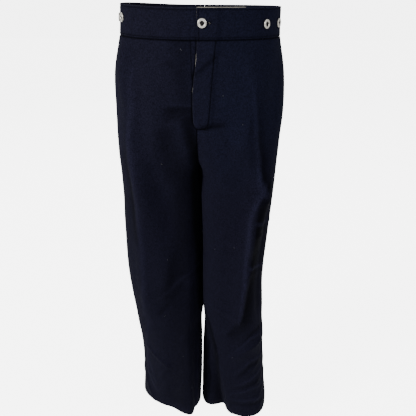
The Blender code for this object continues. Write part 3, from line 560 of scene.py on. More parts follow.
class Finish:
    def __init__(self, name, fixed):
        self.material = bpy.data.materials.new(name)
        self.material.use_nodes = True
        self.tree = self.material.node_tree
        self.shader = self.tree.nodes["Principled BSDF"]
        for socket, value in fixed.items():
            self.shader.inputs[socket].default_value = value

    def add(self, kind, settings=None, sockets=None, output=0):
        node = self.tree.nodes.new(kind)
        for name, value in (settings or {}).items():
            setattr(node, name, value)
        for name, value in (sockets or {}).items():
            if isinstance(value, Wire):
                self.tree.links.new(value.socket, node.inputs[name])
            else:
                node.inputs[name].default_value = value
        return Wire(self, node.outputs[output])

    def feed(self, name, wire):
        self.tree.links.new(wire.socket, self.shader.inputs[name])

    def attribute(self, name, output="Fac"):
        return self.add("ShaderNodeAttribute", {"attribute_name": name}, output=output)

    def place(self):
        return self.add("ShaderNodeTexCoord", output="Object")

    def scaled(self, vector, scale, turn=0.0):
        sockets = {"Vector": vector, "Scale": scale, "Rotation": (0.0, 0.0, turn)}
        return self.add("ShaderNodeMapping", {"vector_type": "POINT"}, sockets)

    def noiseOf(self, vector, scale, detail=2.0, roughness=0.5):
        sockets = {"Vector": vector, "Scale": scale, "Detail": detail, "Roughness": roughness}
        return self.add("ShaderNodeTexNoise", {"noise_dimensions": "3D"}, sockets)

    def between(self, value, low, high):
        sockets = {"Value": value, "From Min": low, "From Max": high}
        return self.add("ShaderNodeMapRange", {"clamp": True}, sockets)

    def blend(self, factor, one, other):
        settings = {"data_type": "RGBA", "blend_type": "MIX"}
        return self.add("ShaderNodeMix", settings, {0: factor, 6: one, 7: other}, output=2)

    def dim(self, colour, amount):  # a colour times a value
        settings = {"operation": "SCALE"}
        return self.add("ShaderNodeVectorMath", settings, {0: colour, "Scale": amount})

    def bump(self, height, strength, distance):
        sockets = {"Height": height, "Strength": strength, "Distance": distance}
        self.feed("Normal", self.add("ShaderNodeBump", {}, sockets))


# Painted light across the trousers: greyer and lighter on the wearer's right, which faces the key light,
# bluer and darker on the left; the lower legs get painted shade.
woolLook = {
    "bluer": (0.0054, 0.0060, 0.0150, 1.0), "greyer": (0.0070, 0.0068, 0.0148, 1.0),
    "lower": (0.0056, 0.0054, 0.0124, 1.0), "lowerFrom": -0.16, "lowerTo": -0.34,
    "turnsFrom": -0.07, "turnsTo": 0.07, "napSize": 620.0, "mottleSize": 430.0, "patchSize": 28.0,
    "twill": 620.0, "twillTurn": 1.05, "wearAndHighlightColour": (0.026, 0.026, 0.036, 1.0),
}


def makeWool():
    fixed = {
        "Sheen Weight": 0.012, "Sheen Roughness": 0.5, "Sheen Tint": (0.60, 0.65, 0.90, 1.0),
        "Specular IOR Level": 0.04,
    }
    wool = Finish("Navy wool twill", fixed)
    place = wool.place()
    weave = wool.attribute("weave", "Vector")
    x = wool.add("ShaderNodeSeparateXYZ", {}, {0: place}, output=0)
    patches = wool.noiseOf(place, woolLook["patchSize"], 3.0, 0.6)
    # painted light: greyer and lighter towards the wearer's right, bluer towards the left
    toBlue = wool.between(x + (patches - 0.5) * 0.10, woolLook["turnsFrom"], woolLook["turnsTo"])
    colour = wool.blend(toBlue, woolLook["greyer"], woolLook["bluer"])
    # painted shade: the lower legs are drawn darker
    z = wool.add("ShaderNodeSeparateXYZ", {}, {0: place}, output=2)
    toLower = wool.between(z + (patches - 0.5) * 0.15, woolLook["lowerFrom"], woolLook["lowerTo"])
    colour = wool.blend(toLower, colour, woolLook["lower"])
    nap = wool.noiseOf(place, woolLook["napSize"], 3.0, 0.65)
    mottle = wool.noiseOf(place, woolLook["mottleSize"], 3.0, 0.7)
    streak = wool.noiseOf(wool.scaled(weave, (700.0, 60.0, 1.0)), 1.0, 2.0, 0.5)
    grain = wool.between(nap, 0.34, 0.66) * 0.75 + wool.between(mottle, 0.34, 0.66) * 0.95
    level = 0.05 + grain + streak * 0.20 + patches * 0.22
    level = level * (1 - wool.attribute("shade") * 0.92)
    colour = wool.dim(colour, level)
    # lightens worn folded edges; along the fly's lit folded edge this is painted highlight
    wearAndHighlight = wool.attribute("wearAndHighlight") * wool.between(mottle, 0.30, 0.75)
    colour = wool.blend(wearAndHighlight * 0.55, colour, woolLook["wearAndHighlightColour"])
    fibres = wool.between(wool.noiseOf(place, 1500.0, 1.0, 0.4), 0.70, 0.80)
    colour = wool.blend(fibres * 0.06, colour, (0.20, 0.20, 0.26, 1.0))
    wool.feed("Base Color", colour)
    wool.feed("Roughness", 0.80 + nap * 0.22)
    twill = wool.add(
        "ShaderNodeTexWave", {"wave_type": "BANDS", "bands_direction": "X"},
        {
            "Vector": wool.scaled(weave, (1.0, 1.0, 1.0), woolLook["twillTurn"]),
            "Scale": woolLook["twill"], "Distortion": 1.2, "Detail": 1.0,
        },
        output=1,
    )
    height = twill * 0.30 + nap * 0.70 + mottle * 0.9 + streak * 0.3
    wool.bump(height, 0.55, 0.00035)
    return wool.material


def makeCotton(name, colour, darker):
    cotton = Finish(name, {"Sheen Weight": 0.1, "Specular IOR Level": 0.3})
    place, weave = cotton.place(), cotton.attribute("weave", "Vector")
    threads = {"Vector": weave, "Scale": 560.0, "Distortion": 0.6}
    warp = cotton.add("ShaderNodeTexWave", {"bands_direction": "X"}, threads, output=1)
    weft = cotton.add("ShaderNodeTexWave", {"bands_direction": "Y"}, threads, output=1)
    slub = cotton.noiseOf(place, 260.0, 3.0, 0.6)
    stain = cotton.noiseOf(place, 18.0, 2.0, 0.5)
    mixed = cotton.between(slub * 0.6 + stain * 0.5, 0.35, 0.80)
    colour = cotton.blend(mixed, colour, darker)
    colour = cotton.dim(colour, (1 - cotton.attribute("shade") * 0.5) * (0.9 + warp * weft * 0.15))
    cotton.feed("Base Color", colour)
    cotton.feed("Roughness", 0.78 + slub * 0.18)
    cotton.bump(warp * 0.5 + weft * 0.5 + slub, 0.35, 0.0002)
    return cotton.material


def makeThread(name, colour, lighter):
    thread = Finish(name, {"Specular IOR Level": 0.06})
    ply = thread.noiseOf(thread.place(), 2600.0, 2.0, 0.5)
    thread.feed("Base Color", thread.blend(thread.between(ply, 0.35, 0.7), colour, lighter))
    thread.feed("Roughness", 0.50 + ply * 0.25)
    thread.bump(ply, 0.4, 0.0001)
    return thread.material


def makeMetal(name, colour, tarnish, roughness, metallic, spotted):
    metal = Finish(name, {"Specular IOR Level": 0.5})
    place = metal.place()
    spots = metal.noiseOf(place, 420.0, 4.0, 0.6)
    scratches = metal.noiseOf(metal.scaled(place, (2600.0, 300.0, 900.0)), 1.0, 2.0, 0.5)
    worn = metal.between(spots, 0.50, 0.72) * spotted
    metal.feed("Base Color", metal.blend(worn, colour, tarnish))
    metal.feed("Metallic", metallic - worn * 0.3)
    metal.feed("Roughness", roughness + worn * 0.25 + scratches * 0.12)
    metal.bump(spots * 0.6 + scratches * 0.4, 0.20, 0.00012)
    return metal.material


woolCloth = makeWool()
paleCotton = makeCotton("Pale cotton drill", (0.60, 0.56, 0.47, 1.0), (0.42, 0.39, 0.32, 1.0))
darkCotton = makeCotton("Dark cotton", (0.016, 0.016, 0.024, 1.0), (0.008, 0.008, 0.014, 1.0))
darkThread = makeThread("Dark thread", (0.0030, 0.0032, 0.0070, 1), (0.0055, 0.0058, 0.0115, 1))
paleThread = makeThread("Pale thread", (0.20, 0.18, 0.15, 1), (0.34, 0.31, 0.27, 1))
lintFibre = makeThread("Lint", (0.16, 0.16, 0.17, 1), (0.28, 0.28, 0.28, 1))
rimMetal = makeMetal("Button rim", (0.82, 0.79, 0.72, 1), (0.45, 0.41, 0.34, 1), 0.30, 0.55, 0.5)
wallMetal = makeMetal("Button dish wall", (0.55, 0.52, 0.48, 1), (0.10, 0.09, 0.08, 1), 0.16, 1.0, 0.6)
# the dish's near-black metal is painted shade for the dark that the hollow centre shows
dishMetal = makeMetal("Button dish", (0.050, 0.045, 0.040, 1), (0.01, 0.01, 0.01, 1), 0.30, 0.8, 0.8)
print("materials made")


# Cloth pieces

edgeSteps = np.array([0.0, 0.00025, 0.0006, 0.0010, 0.0016, 0.0024, 0.0034])


def meshOf(name, vertices, faces, materials):
    mesh = bpy.data.meshes.new(name)
    mesh.from_pydata(np.asarray(vertices, float).tolist(), [], [tuple(face) for face in faces])
    for material in materials:
        mesh.materials.append(material)
    mesh.polygons.foreach_set("use_smooth", np.ones(len(mesh.polygons), bool))
    piece = bpy.data.objects.new(name, mesh)
    bpy.context.scene.collection.objects.link(piece)
    return piece


def writeAttribute(piece, name, kind, values):
    attribute = piece.data.attributes.new(name, kind, "POINT")
    field = "vector" if kind == "FLOAT_VECTOR" else "value"
    attribute.data.foreach_set(field, np.asarray(values, np.float32).reshape(-1))


edgeLooks = {
    "fold": {"round": 0.92},
    "seam": {"dip": 0.0010, "shade": 0.9, "shadeWidth": 0.0016},
    "flatSeam": {"dip": 0.0003, "shade": 0.7, "shadeWidth": 0.0010},
}
dipReach = 0.0034


def edgeDips(kind, away, thickness):  # how far the outer and inner faces draw in at an edge
    if kind == "fold":
        radius = thickness / 2 * edgeLooks["fold"]["round"]
        short = np.clip(radius - away, 0.0, radius)
        dip = radius - np.sqrt(radius**2 - short**2)
        return dip, dip
    if kind in ("seam", "flatSeam"):
        return edgeLooks[kind]["dip"] * (1 - smoothStep(0.0, dipReach, away)), 0 * away
    return 0 * away, 0 * away


def edgeShade(kind, away):
    if kind in ("seam", "flatSeam"):
        return edgeLooks[kind]["shade"] * bell(away, edgeLooks[kind]["shadeWidth"])
    return 0 * away


def sewnWall(spec):  # an outer face, an inner face and a rim, as rows of drops by columns
    drops = np.array(spec["rows"])
    along = np.array([spec["columns"](drop) for drop in drops])
    height, width = along.shape
    points, normals = np.zeros((height, width, 3)), np.zeros((height, width, 3))
    lift = np.zeros((height, width))
    for i, drop in enumerate(drops):
        points[i], normals[i] = spec["place"](along[i], drop)
        lift[i] = spec["lift"](along[i], drop)
    dropGrid = np.broadcast_to(drops[:, None], along.shape)
    thickness = spec["thickness"] + spec.get("thicker", noLift)(along, dropGrid)
    away = {
        "start": np.abs(along - along[:, :1]), "end": np.abs(along[:, -1:] - along),
        "top": dropGrid - drops[0], "bottom": drops[-1] - dropGrid,
    }
    outerDip, innerDip, shade = np.zeros_like(lift), np.zeros_like(lift), np.zeros_like(lift)
    for edge, kind in spec["edges"].items():
        kinds = np.full(height, kind) if isinstance(kind, str) else np.array([kind(d) for d in drops])
        for each in ("fold", "seam", "flatSeam"):
            rows = (kinds == each)[:, None]
            outer, inner = edgeDips(each, away[edge], thickness)
            outerDip = np.maximum(outerDip, outer * rows)
            innerDip = np.maximum(innerDip, inner * rows)
            shade = np.maximum(shade, edgeShade(each, away[edge]) * rows)
    groove, grooveShade, wearAndHighlight = spec["marks"](along, dropGrid)
    outerDip = outerDip + groove
    shade = np.clip(shade + grooveShade, -1.0, 1.0)
    base = lift - spec["depth"]
    outer = points + normals * (base - outerDip)[..., None]
    inner = points + normals * (base - thickness + innerDip)[..., None]
    count = height * width
    index = np.arange(count).reshape(height, width)
    one, two, three, four = index[:-1, :-1], index[:-1, 1:], index[1:, 1:], index[1:, :-1]
    quads = np.stack([one, two, three, four], axis=2).reshape(-1, 4)
    a, b, c = outer[0, 0], outer[0, 1], outer[1, 0]
    if np.dot(np.cross(b - a, c - a), normals[0, 0]) < 0:
        quads = quads[:, ::-1]
    rim = np.concatenate([index[0, :-1], index[:-1, -1], index[-1, :0:-1], index[:0:-1, 0]])
    after = np.roll(rim, -1)
    walls = np.stack([rim, rim + count, after + count, after], axis=1)
    if quads[0, 0] != index[0, 0] or quads[0, 1] != index[0, 1]:
        walls = walls[:, ::-1]
    faces = np.concatenate([quads, quads[:, ::-1] + count, walls]).tolist()
    vertices = np.concatenate([outer.reshape(-1, 3), inner.reshape(-1, 3)])
    piece = meshOf(spec["name"], vertices, faces, [spec["material"]])
    piece.data.set_sharp_from_angle(angle=math.radians(62))
    weave = np.stack([along, dropGrid, 0 * along], axis=2)
    inside = weave + np.array([0.0, 0.0, 0.01])
    writeAttribute(piece, "weave", "FLOAT_VECTOR", np.concatenate([weave, inside]))
    writeAttribute(piece, "shade", "FLOAT", np.concatenate([shade, shade * 0.3]))
    writeAttribute(piece, "wearAndHighlight", "FLOAT", np.concatenate([wearAndHighlight, wearAndHighlight * 0]))
    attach(piece, "root")
    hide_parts(spec["node"])
    spans = np.abs(along[:, -1] - along[:, 0])
    area = float(np.trapz(spans, drops))
    flat = (float(spans.max()), float(drops[-1] - drops[0]))
    spec["sheet"] = (piece, flat, min(area, flat[0] * flat[1]))
    return piece


def spaced(start, end, step):
    return np.linspace(start, end, max(2, int(round(abs(end - start) / step)) + 1))


def rowsBetween(top, bottom, step):
    middle = spaced(top + edgeSteps[-1], bottom - edgeSteps[-1], step)
    return np.concatenate([top + edgeSteps[:-1], middle, bottom - edgeSteps[-2::-1]])


legWidths = {"frontNear": 9, "frontFar": 78, "back": 88}
stitchOffsets = np.array([-0.0014, -0.0007, 0.0, 0.0007, 0.0014])
seamPower = 5  # how soon, from the centre line, the columns make room for the missing width
buttedGap = 0.00002  # half the gap where two pieces are drawn edge to edge


def legColumns(face, side, drop):
    missing = float(np.interp(drop, denseDrops, surface[side, face]["missing"]))
    start, end = buttedGap, reachOf(side, face, drop) - buttedGap + missing
    last = end - edgeSteps[::-1]
    if face == "back":
        middle = np.linspace(start + edgeSteps[-1], last[0], legWidths["back"])[1:-1]
        columns = np.concatenate([start + edgeSteps, middle, last])
    else:
        if side == "left":
            start += flyLine("edge", drop)
            stitch = flyLine("stitch", drop)
        else:
            start -= flyLine("under", drop)
            stitch = float(rightLine(drop))
        near = np.linspace(start + edgeSteps[-1], stitch + stitchOffsets[0], legWidths["frontNear"])
        far = np.linspace(stitch + stitchOffsets[-1], last[0], legWidths["frontFar"])
        parts = [start + edgeSteps, near[1:-1], stitch + stitchOffsets, far[1:-1], last]
        columns = np.concatenate(parts)
    columns = columns + missing * ((1 - (columns - start) / (end - start)) ** seamPower - 1)
    return columns * sides[side]


def hemThicker(along, drop):
    start = cut["outseam"] - cut["hemDepth"]
    return cut["hemExtra"] * smoothStep(start - 0.0008, start + 0.0008, drop)


# painted shade from the strokes, and below 0 painted highlight
def strokeShade(side, along, drop):
    front = surface[side, "front"]
    reach = np.interp(drop, denseDrops, front["along"][:, -1])
    dark, light = strokesAt(side, reach - np.abs(along), drop, front["totals"])
    return dark * (1 - np.clip(light * 2, 0.0, 1.0)) - light


legLook = {
    "leftLineEnd": 0.200, "leftGroove": 0.0008, "leftShade": 0.85,
    "rightLineEnd": 0.115, "rightGroove": 0.0004, "rightShade": 0.65,
    "lineFade": 0.002, "lineWidth": 0.0011, "edgeWearAndHighlightWidth": 0.0014,
    "lapAside": 0.0010, "lapFade": 0.004, "lapShade": 0.85, "lapWidth": 0.0017,
    "footBelow": 0.0016, "footShade": 0.95, "footWidth": 0.0014, "footFrom": 0.0150, "footTo": 0.0200,
    "hemBelow": 0.001, "hemGroove": 0.00012, "hemWidth": 0.0012, "hemRub": 0.7, "hemRubWidth": 0.0016,
}


def legMarks(face, side):
    def marks(along, drop):
        groove, shade, wearAndHighlight = np.zeros_like(along), np.zeros_like(along), np.zeros_like(along)
        if face == "front":
            shade += strokeShade(side, along, drop)
            stitch = rightLine(drop) if side == "right" else flyLine("stitch", drop)
            off = np.abs(along) - stitch if side == "right" else along - stitch
            reach, fade = legLook[side + "LineEnd"], legLook["lineFade"]
            on = 1 - smoothStep(reach - fade, reach + fade, drop)
            near = bell(off, legLook["lineWidth"])
            groove += legLook[side + "Groove"] * near * on
            shade += legLook[side + "Shade"] * near * on
            edge = along - flyLine("edge", drop)
            if side == "right":  # the lapped edge shades the cloth beside it
                lap = 1 - smoothStep(cut["flyEnd"] - legLook["lapFade"], cut["flyEnd"], drop)
                shade += legLook["lapShade"] * bell(edge + legLook["lapAside"], legLook["lapWidth"]) * lap
            else:
                foot = bell(drop - cut["flyEnd"] - legLook["footBelow"], legLook["footWidth"])
                foot = foot * (1 - smoothStep(legLook["footFrom"], legLook["footTo"], along))
                shade += legLook["footShade"] * foot
                # painted highlight along the lap's lit folded edge, on top of its wear
                wearAndHighlight += bell(edge, legLook["edgeWearAndHighlightWidth"]) * on
        hem = drop - cut["outseam"] + cut["hemDepth"] - legLook["hemBelow"]
        groove += legLook["hemGroove"] * bell(hem, legLook["hemWidth"])
        wearAndHighlight += legLook["hemRub"] * bell(cut["outseam"] - drop, legLook["hemRubWidth"])
        return groove, shade, wearAndHighlight
    return marks


seamRows = rowsBetween(cut["bandDepth"] + buttedGap, cut["outseam"], grid["step"])
footRows = cut["flyEnd"] + np.array([-0.0025, -0.0010, 0.0, 0.0007, 0.0014, 0.0021, 0.0028, 0.0036])
crotchRows = cut["crotchDrop"] + np.array([-0.0015, 0.0, 0.0015])
legRows = np.unique(np.round(np.concatenate([seamRows, footRows, crotchRows]), 5))
legRows = legRows[np.concatenate([[True], np.diff(legRows) > 0.00018])]


def centreEdge(drop):
    return "fold" if drop < cut["flyEnd"] else "flatSeam"


specs = {}
for side in sides:
    for face in ("front", "back"):
        startKind = centreEdge if face == "front" else "flatSeam"
        specs[f"{face}_{side}"] = {
            "name": f"{face}_{side}_cloth", "node": f"{face}_{side}", "rows": legRows,
            "columns": (lambda drop, f=face, s=side: legColumns(f, s, drop)),
            "place": (lambda along, drop, f=face: onFace(f, along, drop)),
            "lift": lapHeight if (face, side) == ("front", "left") else noLift,
            "thickness": cut["wool"], "thicker": hemThicker, "depth": 0.0,
            "edges": {"start": startKind, "end": "flatSeam", "top": "seam", "bottom": "fold"},
            "marks": legMarks(face, side), "material": woolCloth, "slot": "navy_wool",
            "held": "hung", "restsOn": [f"waistband_{side}_cloth"],
        }

bandLook = {
    "topStitch": 0.0036, "lowStitch": 0.0474, "endStitch": 0.0034, "groove": 0.00045,
    "topShade": 0.45, "lowShade": 0.50, "endShade": 0.5, "lineWidth": 0.0011, "endWidth": 0.0008,
    "wearAndHighlight": 0.9, "rubWidth": 0.0013, "columns": 143,
}


def bandColumns(side, drop, shift=0.0):
    end = reachOf(side, "front", drop) + reachOf(side, "back", drop) - cut["seamGap"] / 2
    if side == "left":
        past = shift * (1 - smoothStep(facingLook["endFrom"], facingLook["endTo"], drop) * 2)
        start = float(flyLine("edge", drop)) - float(past)
        stitch = float(flyLine("edge", drop)) + bandLook["endStitch"] + stitchOffsets * 0.6
        first = np.concatenate([[start], start + edgeSteps[1:4], stitch])
    else:
        first = -cut["bandUnderEnd"] + edgeSteps
    rest = np.linspace(first[-1], end - edgeSteps[-1], bandLook["columns"])
    return np.concatenate([first, rest[1:], end - edgeSteps[-2::-1]]) * sides[side]


def bandMarks(side):
    def marks(along, drop):
        groove, shade = np.zeros_like(along), np.zeros_like(along)
        for line in ("top", "low"):
            near = bell(drop - bandLook[line + "Stitch"], bandLook["lineWidth"])
            groove += bandLook["groove"] * near
            shade += bandLook[line + "Shade"] * near
        if side == "left":
            off = along - flyLine("edge", drop) - bandLook["endStitch"]
            inside = smoothStep(bandLook["topStitch"] - 0.001, bandLook["topStitch"], drop)
            near = bell(off, bandLook["endWidth"]) * inside
            groove += bandLook["groove"] * near
            shade += bandLook["endShade"] * near
        wearAndHighlight = bandLook["wearAndHighlight"] * bell(drop, bandLook["rubWidth"])
        return groove, shade, wearAndHighlight
    return marks


def noMarks(along, drop):
    return 0 * along, 0 * along, 0 * along


bandDrops = rowsBetween(0.0, cut["bandDepth"] - buttedGap, grid["bandStep"])
for line in (bandLook["topStitch"], bandLook["lowStitch"]):
    bandDrops = bandDrops[np.abs(bandDrops - line) > 0.0019]
    near = line + np.array([-0.0016, -0.0008, 0.0, 0.0008, 0.0016])
    bandDrops = np.sort(np.concatenate([bandDrops, near]))

facingLook = {
    "shows": 0.0007, "fadesFrom": 0.082, "fadesTo": 0.104, "sinks": -0.0078, "reach": 0.022,
    "pastEnd": 0.0002, "endFrom": 0.017, "endTo": 0.023, "rightRise": 0.003,
}


def facingPlace(side):
    def place(along, drop):
        points, normals = onBand(along, drop)
        show = facingLook["sinks"] + 0 * along  # the wool turns in over its top edge
        if side == "left":  # but for the front part, where the facing stands out over the wool
            front = 1 - smoothStep(facingLook["fadesFrom"], facingLook["fadesTo"], along)
            show = show + (facingLook["shows"] - facingLook["sinks"]) * front
        else:
            show = show + facingLook["rightRise"]
        up = points - onBand(along, drop + 0.002)[0]
        up /= np.linalg.norm(up, axis=1, keepdims=True)
        reach = 1 - smoothStep(0.0, facingLook["reach"], drop)
        return points + up * (show * reach)[:, None], normals
    return place


def facingMarks(along, drop):  # its front end is drawn darker, and the rest a little darker
    end = 1 - smoothStep(0.0010, 0.0030, along)
    return 0 * along, np.clip(end + 0.25, 0.0, 1.0), 0 * along


for side in sides:
    lifted = lapHeight if side == "left" else noLift
    specs[f"waistband_{side}"] = {
        "name": f"waistband_{side}_cloth", "node": f"waistband_{side}", "rows": bandDrops,
        "columns": (lambda drop, s=side: bandColumns(s, drop)), "place": onBand, "lift": lifted,
        "thickness": cut["wool"], "depth": 0.0,
        "edges": {"start": "fold", "end": "seam", "top": "fold", "bottom": "seam"},
        "marks": bandMarks(side), "material": woolCloth, "slot": "navy_wool",
        "held": "hung", "restsOn": [f"waistband_facing_{side}_cloth"],
    }
    inside = bandDrops if side == "left" else bandDrops[bandDrops > 0.003]
    shift = facingLook["pastEnd"] if side == "left" else 0.0
    specs[f"waistband_facing_{side}"] = {
        "name": f"waistband_facing_{side}_cloth", "node": f"waistband_facing_{side}",
        "rows": inside, "columns": (lambda drop, s=side, m=shift: bandColumns(s, drop, m)),
        "place": facingPlace(side), "lift": lifted, "thickness": cut["bandFacing"],
        "depth": cut["wool"] + cut["seamGap"],
        "edges": {"start": "fold", "end": "seam", "top": "fold", "bottom": "raw"},
        "marks": facingMarks if side == "left" else noMarks, "material": paleCotton, "slot": "pale_cotton",
        "held": "laid", "restsOn": [f"waistband_{side}_cloth"],
    }

flyRows = rowsBetween(cut["bandDepth"] + cut["seamGap"] / 2, 0.1975, 0.0030)
slivers = (  # a drop, and how far the pale facing shows past the fly's edge there
    (0.0515, -0.0006), (0.0680, -0.0006), (0.0715, 0.0001), (0.0780, 0.0004), (0.0880, 0.0003),
    (0.0950, 0.0001), (0.0990, -0.0006), (0.1270, -0.0006), (0.1305, 0.0003), (0.1390, 0.0003),
    (0.1420, -0.0006), (0.2000, -0.0006),
)


def flyFacingColumns(drop):
    shows = np.interp(drop, [row[0] for row in slivers], [row[1] for row in slivers])
    start = flyLine("edge", drop) - shows
    end = flyLine("stitch", drop) - 0.0020
    return np.concatenate([start + edgeSteps, np.linspace(start + edgeSteps[-1], end, 9)[1:]])


def underlapColumns(drop):
    end = min(cut["underlapEnd"], float(flyLine("stitch", drop)))
    middle = np.linspace(cut["underlapStart"] + edgeSteps[-1], end - edgeSteps[-1], 16)[1:-1]
    return np.concatenate([cut["underlapStart"] + edgeSteps, middle, end - edgeSteps[::-1]])


specs["fly_facing"] = {
    "name": "fly_facing_cloth", "node": "fly_facing", "rows": flyRows,
    "columns": flyFacingColumns, "place": (lambda along, drop: onFace("front", along, drop)),
    "lift": lapHeight, "thickness": cut["flyFacing"], "depth": cut["wool"] + cut["seamGap"],
    "edges": {"start": "fold", "end": "raw", "top": "raw", "bottom": "raw"},
    "marks": noMarks, "material": paleCotton, "slot": "pale_cotton",
    "held": "laid", "restsOn": ["front_left_cloth"],
}
specs["fly_underlap"] = {
    "name": "fly_underlap_cloth", "node": "fly_underlap", "rows": flyRows,
    "columns": underlapColumns, "place": (lambda along, drop: onFace("front", along, drop)),
    "lift": noLift, "thickness": cut["underlap"], "depth": cut["wool"] + cut["seamGap"],
    "edges": {"start": "fold", "end": "fold", "top": "raw", "bottom": "fold"},
    "marks": noMarks, "material": darkCotton, "slot": "dark_cotton",
    "held": "laid", "restsOn": ["front_right_cloth"],
}

cloth = {}
for key, spec in specs.items():
    cloth[key] = sewnWall(spec)
print("cloth pieces sewn,", sum(len(piece.data.polygons) for piece in cloth.values()), "faces")


# The buttonhole, cut through the lapped end of the band

buttonhole = {"middle": 0.0132, "drop": 0.0240, "length": 0.019, "width": 0.0010}


def frameAt(along, drop, level):
    points, normals = onBand([along], drop)
    point, normal = points[0], normals[0]
    up = onBand([along], drop - 0.004)[0][0] - point
    up = up - normal * up.dot(normal)
    up /= np.linalg.norm(up)
    return point + normal * level, np.cross(up, normal), up, normal


def boolean(target, cutter):
    modifier = target.modifiers.new("cut", "BOOLEAN")
    modifier.operation, modifier.solver, modifier.object = "DIFFERENCE", "EXACT", cutter
    graph = bpy.context.evaluated_depsgraph_get()
    made = bpy.data.meshes.new_from_object(target.evaluated_get(graph))
    target.modifiers.clear()
    target.data = made


middle, across, up, normal = frameAt(buttonhole["middle"], buttonhole["drop"], cut["lapHeight"])
corners = []
for level in (-cut["lapHeight"] - 0.0001, 0.003):
    for sx, sy in ((-1, -1), (1, -1), (1, 1), (-1, 1)):
        corner = across * sx * buttonhole["length"] / 2 + up * sy * buttonhole["width"] / 2
        corners.append(middle + corner + normal * level)
boxFaces = [(3, 2, 1, 0), (4, 5, 6, 7), (0, 1, 5, 4), (1, 2, 6, 5), (2, 3, 7, 6), (3, 0, 4, 7)]
slit = meshOf("slit", corners, boxFaces, [])
for key in ("waistband_left", "waistband_facing_left"):
    boolean(cloth[key], slit)
bpy.data.objects.remove(slit)


# Stitches: Geometry Nodes lay one short thread at each step of a path

def stitchTree():
    tree = bpy.data.node_groups.new("Sewn stitches", "GeometryNodeTree")
    face = tree.interface
    face.new_socket("Geometry", in_out="INPUT", socket_type="NodeSocketGeometry")
    for name, kind in (
        ("Pitch", "NodeSocketFloat"), ("Length", "NodeSocketFloat"), ("Thickness", "NodeSocketFloat"),
        ("Slant", "NodeSocketFloat"), ("Unevenness", "NodeSocketFloat"),
        ("Thread", "NodeSocketMaterial"),
    ):
        face.new_socket(name, in_out="INPUT", socket_type=kind)
    face.new_socket("Geometry", in_out="OUTPUT", socket_type="NodeSocketGeometry")

    def add(kind, settings=None, sockets=None):
        node = tree.nodes.new(kind)
        for name, value in (settings or {}).items():
            setattr(node, name, value)
        for name, value in (sockets or {}).items():
            if isinstance(value, bpy.types.NodeSocket):
                tree.links.new(value, node.inputs[name])
            else:
                node.inputs[name].default_value = value
        return node

    given = add("NodeGroupInput").outputs
    path = add("GeometryNodeMeshToCurve", {}, {"Mesh": given["Geometry"]})
    steps = add(
        "GeometryNodeResampleCurve", {"mode": "LENGTH"},
        {"Curve": path.outputs[0], "Length": given["Pitch"]},
    )
    ball = add("GeometryNodeMeshUVSphere", {}, {"Segments": 6, "Rings": 5, "Radius": 0.5})
    smooth = add("GeometryNodeSetShadeSmooth", {}, {"Geometry": ball.outputs[0]})
    size = add(
        "ShaderNodeCombineXYZ", {},
        {"X": given["Length"], "Y": given["Thickness"], "Z": given["Thickness"]},
    )
    stitch = add("GeometryNodeTransform", {}, {"Geometry": smooth.outputs[0], "Scale": size.outputs[0]})
    tangent = add("GeometryNodeInputTangent")
    along = add("FunctionNodeAlignRotationToVector", {"axis": "X"}, {"Vector": tangent.outputs[0]})
    outward = add(
        "GeometryNodeInputNamedAttribute", {"data_type": "FLOAT_VECTOR"}, {"Name": "outward"}
    )
    upright = add(
        "FunctionNodeAlignRotationToVector", {"axis": "Z", "pivot_axis": "X"},
        {"Rotation": along.outputs[0], "Vector": outward.outputs[0]},
    )
    jitter = add("FunctionNodeRandomValue", {"data_type": "FLOAT"}, {"Seed": 11})
    low = add("ShaderNodeMath", {"operation": "MULTIPLY"}, {0: given["Unevenness"], 1: -1.0})
    floats = [socket for socket in jitter.inputs if socket.type == "VALUE"]
    tree.links.new(low.outputs[0], floats[0])
    tree.links.new(given["Unevenness"], floats[1])
    spread = [socket for socket in jitter.outputs if socket.type == "VALUE"][0]
    turn = add("ShaderNodeMath", {"operation": "ADD"}, {0: given["Slant"], 1: spread})
    tilt = add(
        "FunctionNodeAxisAngleToRotation", {}, {"Axis": (0.0, 0.0, 1.0), "Angle": turn.outputs[0]}
    )
    turned = add(
        "FunctionNodeRotateRotation", {"rotation_space": "LOCAL"},
        {"Rotation": upright.outputs[0], "Rotate By": tilt.outputs[0]},
    )
    laid = add(
        "GeometryNodeInstanceOnPoints", {},
        {"Points": steps.outputs[0], "Instance": stitch.outputs[0], "Rotation": turned.outputs[0]},
    )
    real = add("GeometryNodeRealizeInstances", {}, {"Geometry": laid.outputs[0]})
    threaded = add(
        "GeometryNodeSetMaterial", {}, {"Geometry": real.outputs[0], "Material": given["Thread"]}
    )
    add("NodeGroupOutput", {}, {"Geometry": threaded.outputs[0]})
    return tree


sewing = stitchTree()


def sew(name, paths, look):
    vertices, edges, outward = [], [], []
    for points, normals in paths:
        first = len(vertices)
        vertices += [tuple(point) for point in points]
        outward += [tuple(n) for n in normals]
        edges += [(first + i, first + i + 1) for i in range(len(points) - 1)]
    mesh = bpy.data.meshes.new(name + "_path")
    mesh.from_pydata(vertices, edges, [])
    path = bpy.data.objects.new(name + "_path", mesh)
    bpy.context.scene.collection.objects.link(path)
    writeAttribute(path, "outward", "FLOAT_VECTOR", outward)
    modifier = path.modifiers.new("sewing", "NODES")
    modifier.node_group = sewing
    keys = {item.name: item.identifier for item in sewing.interface.items_tree if item.in_out == "INPUT"}
    for key, value in look.items():
        modifier[keys[key]] = value
    graph = bpy.context.evaluated_depsgraph_get()
    made = bpy.data.meshes.new_from_object(path.evaluated_get(graph))
    piece = bpy.data.objects.new(name, made)
    bpy.context.scene.collection.objects.link(piece)
    bpy.data.objects.remove(path)
    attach(piece, "root")
    return piece


def pathOn(place, lift, places, level):
    points, normals = [], []
    for along, drop in places:
        at, out = place(np.array([along]), drop)
        raised = float(lift(np.array([along]), drop)[0]) + level
        points.append(at[0] + out[0] * raised)
        normals.append(out[0])
    return points, normals


def onFront(along, drop):
    return onFace("front", along, drop)


def onBack(along, drop):
    return onFace("back", along, drop)


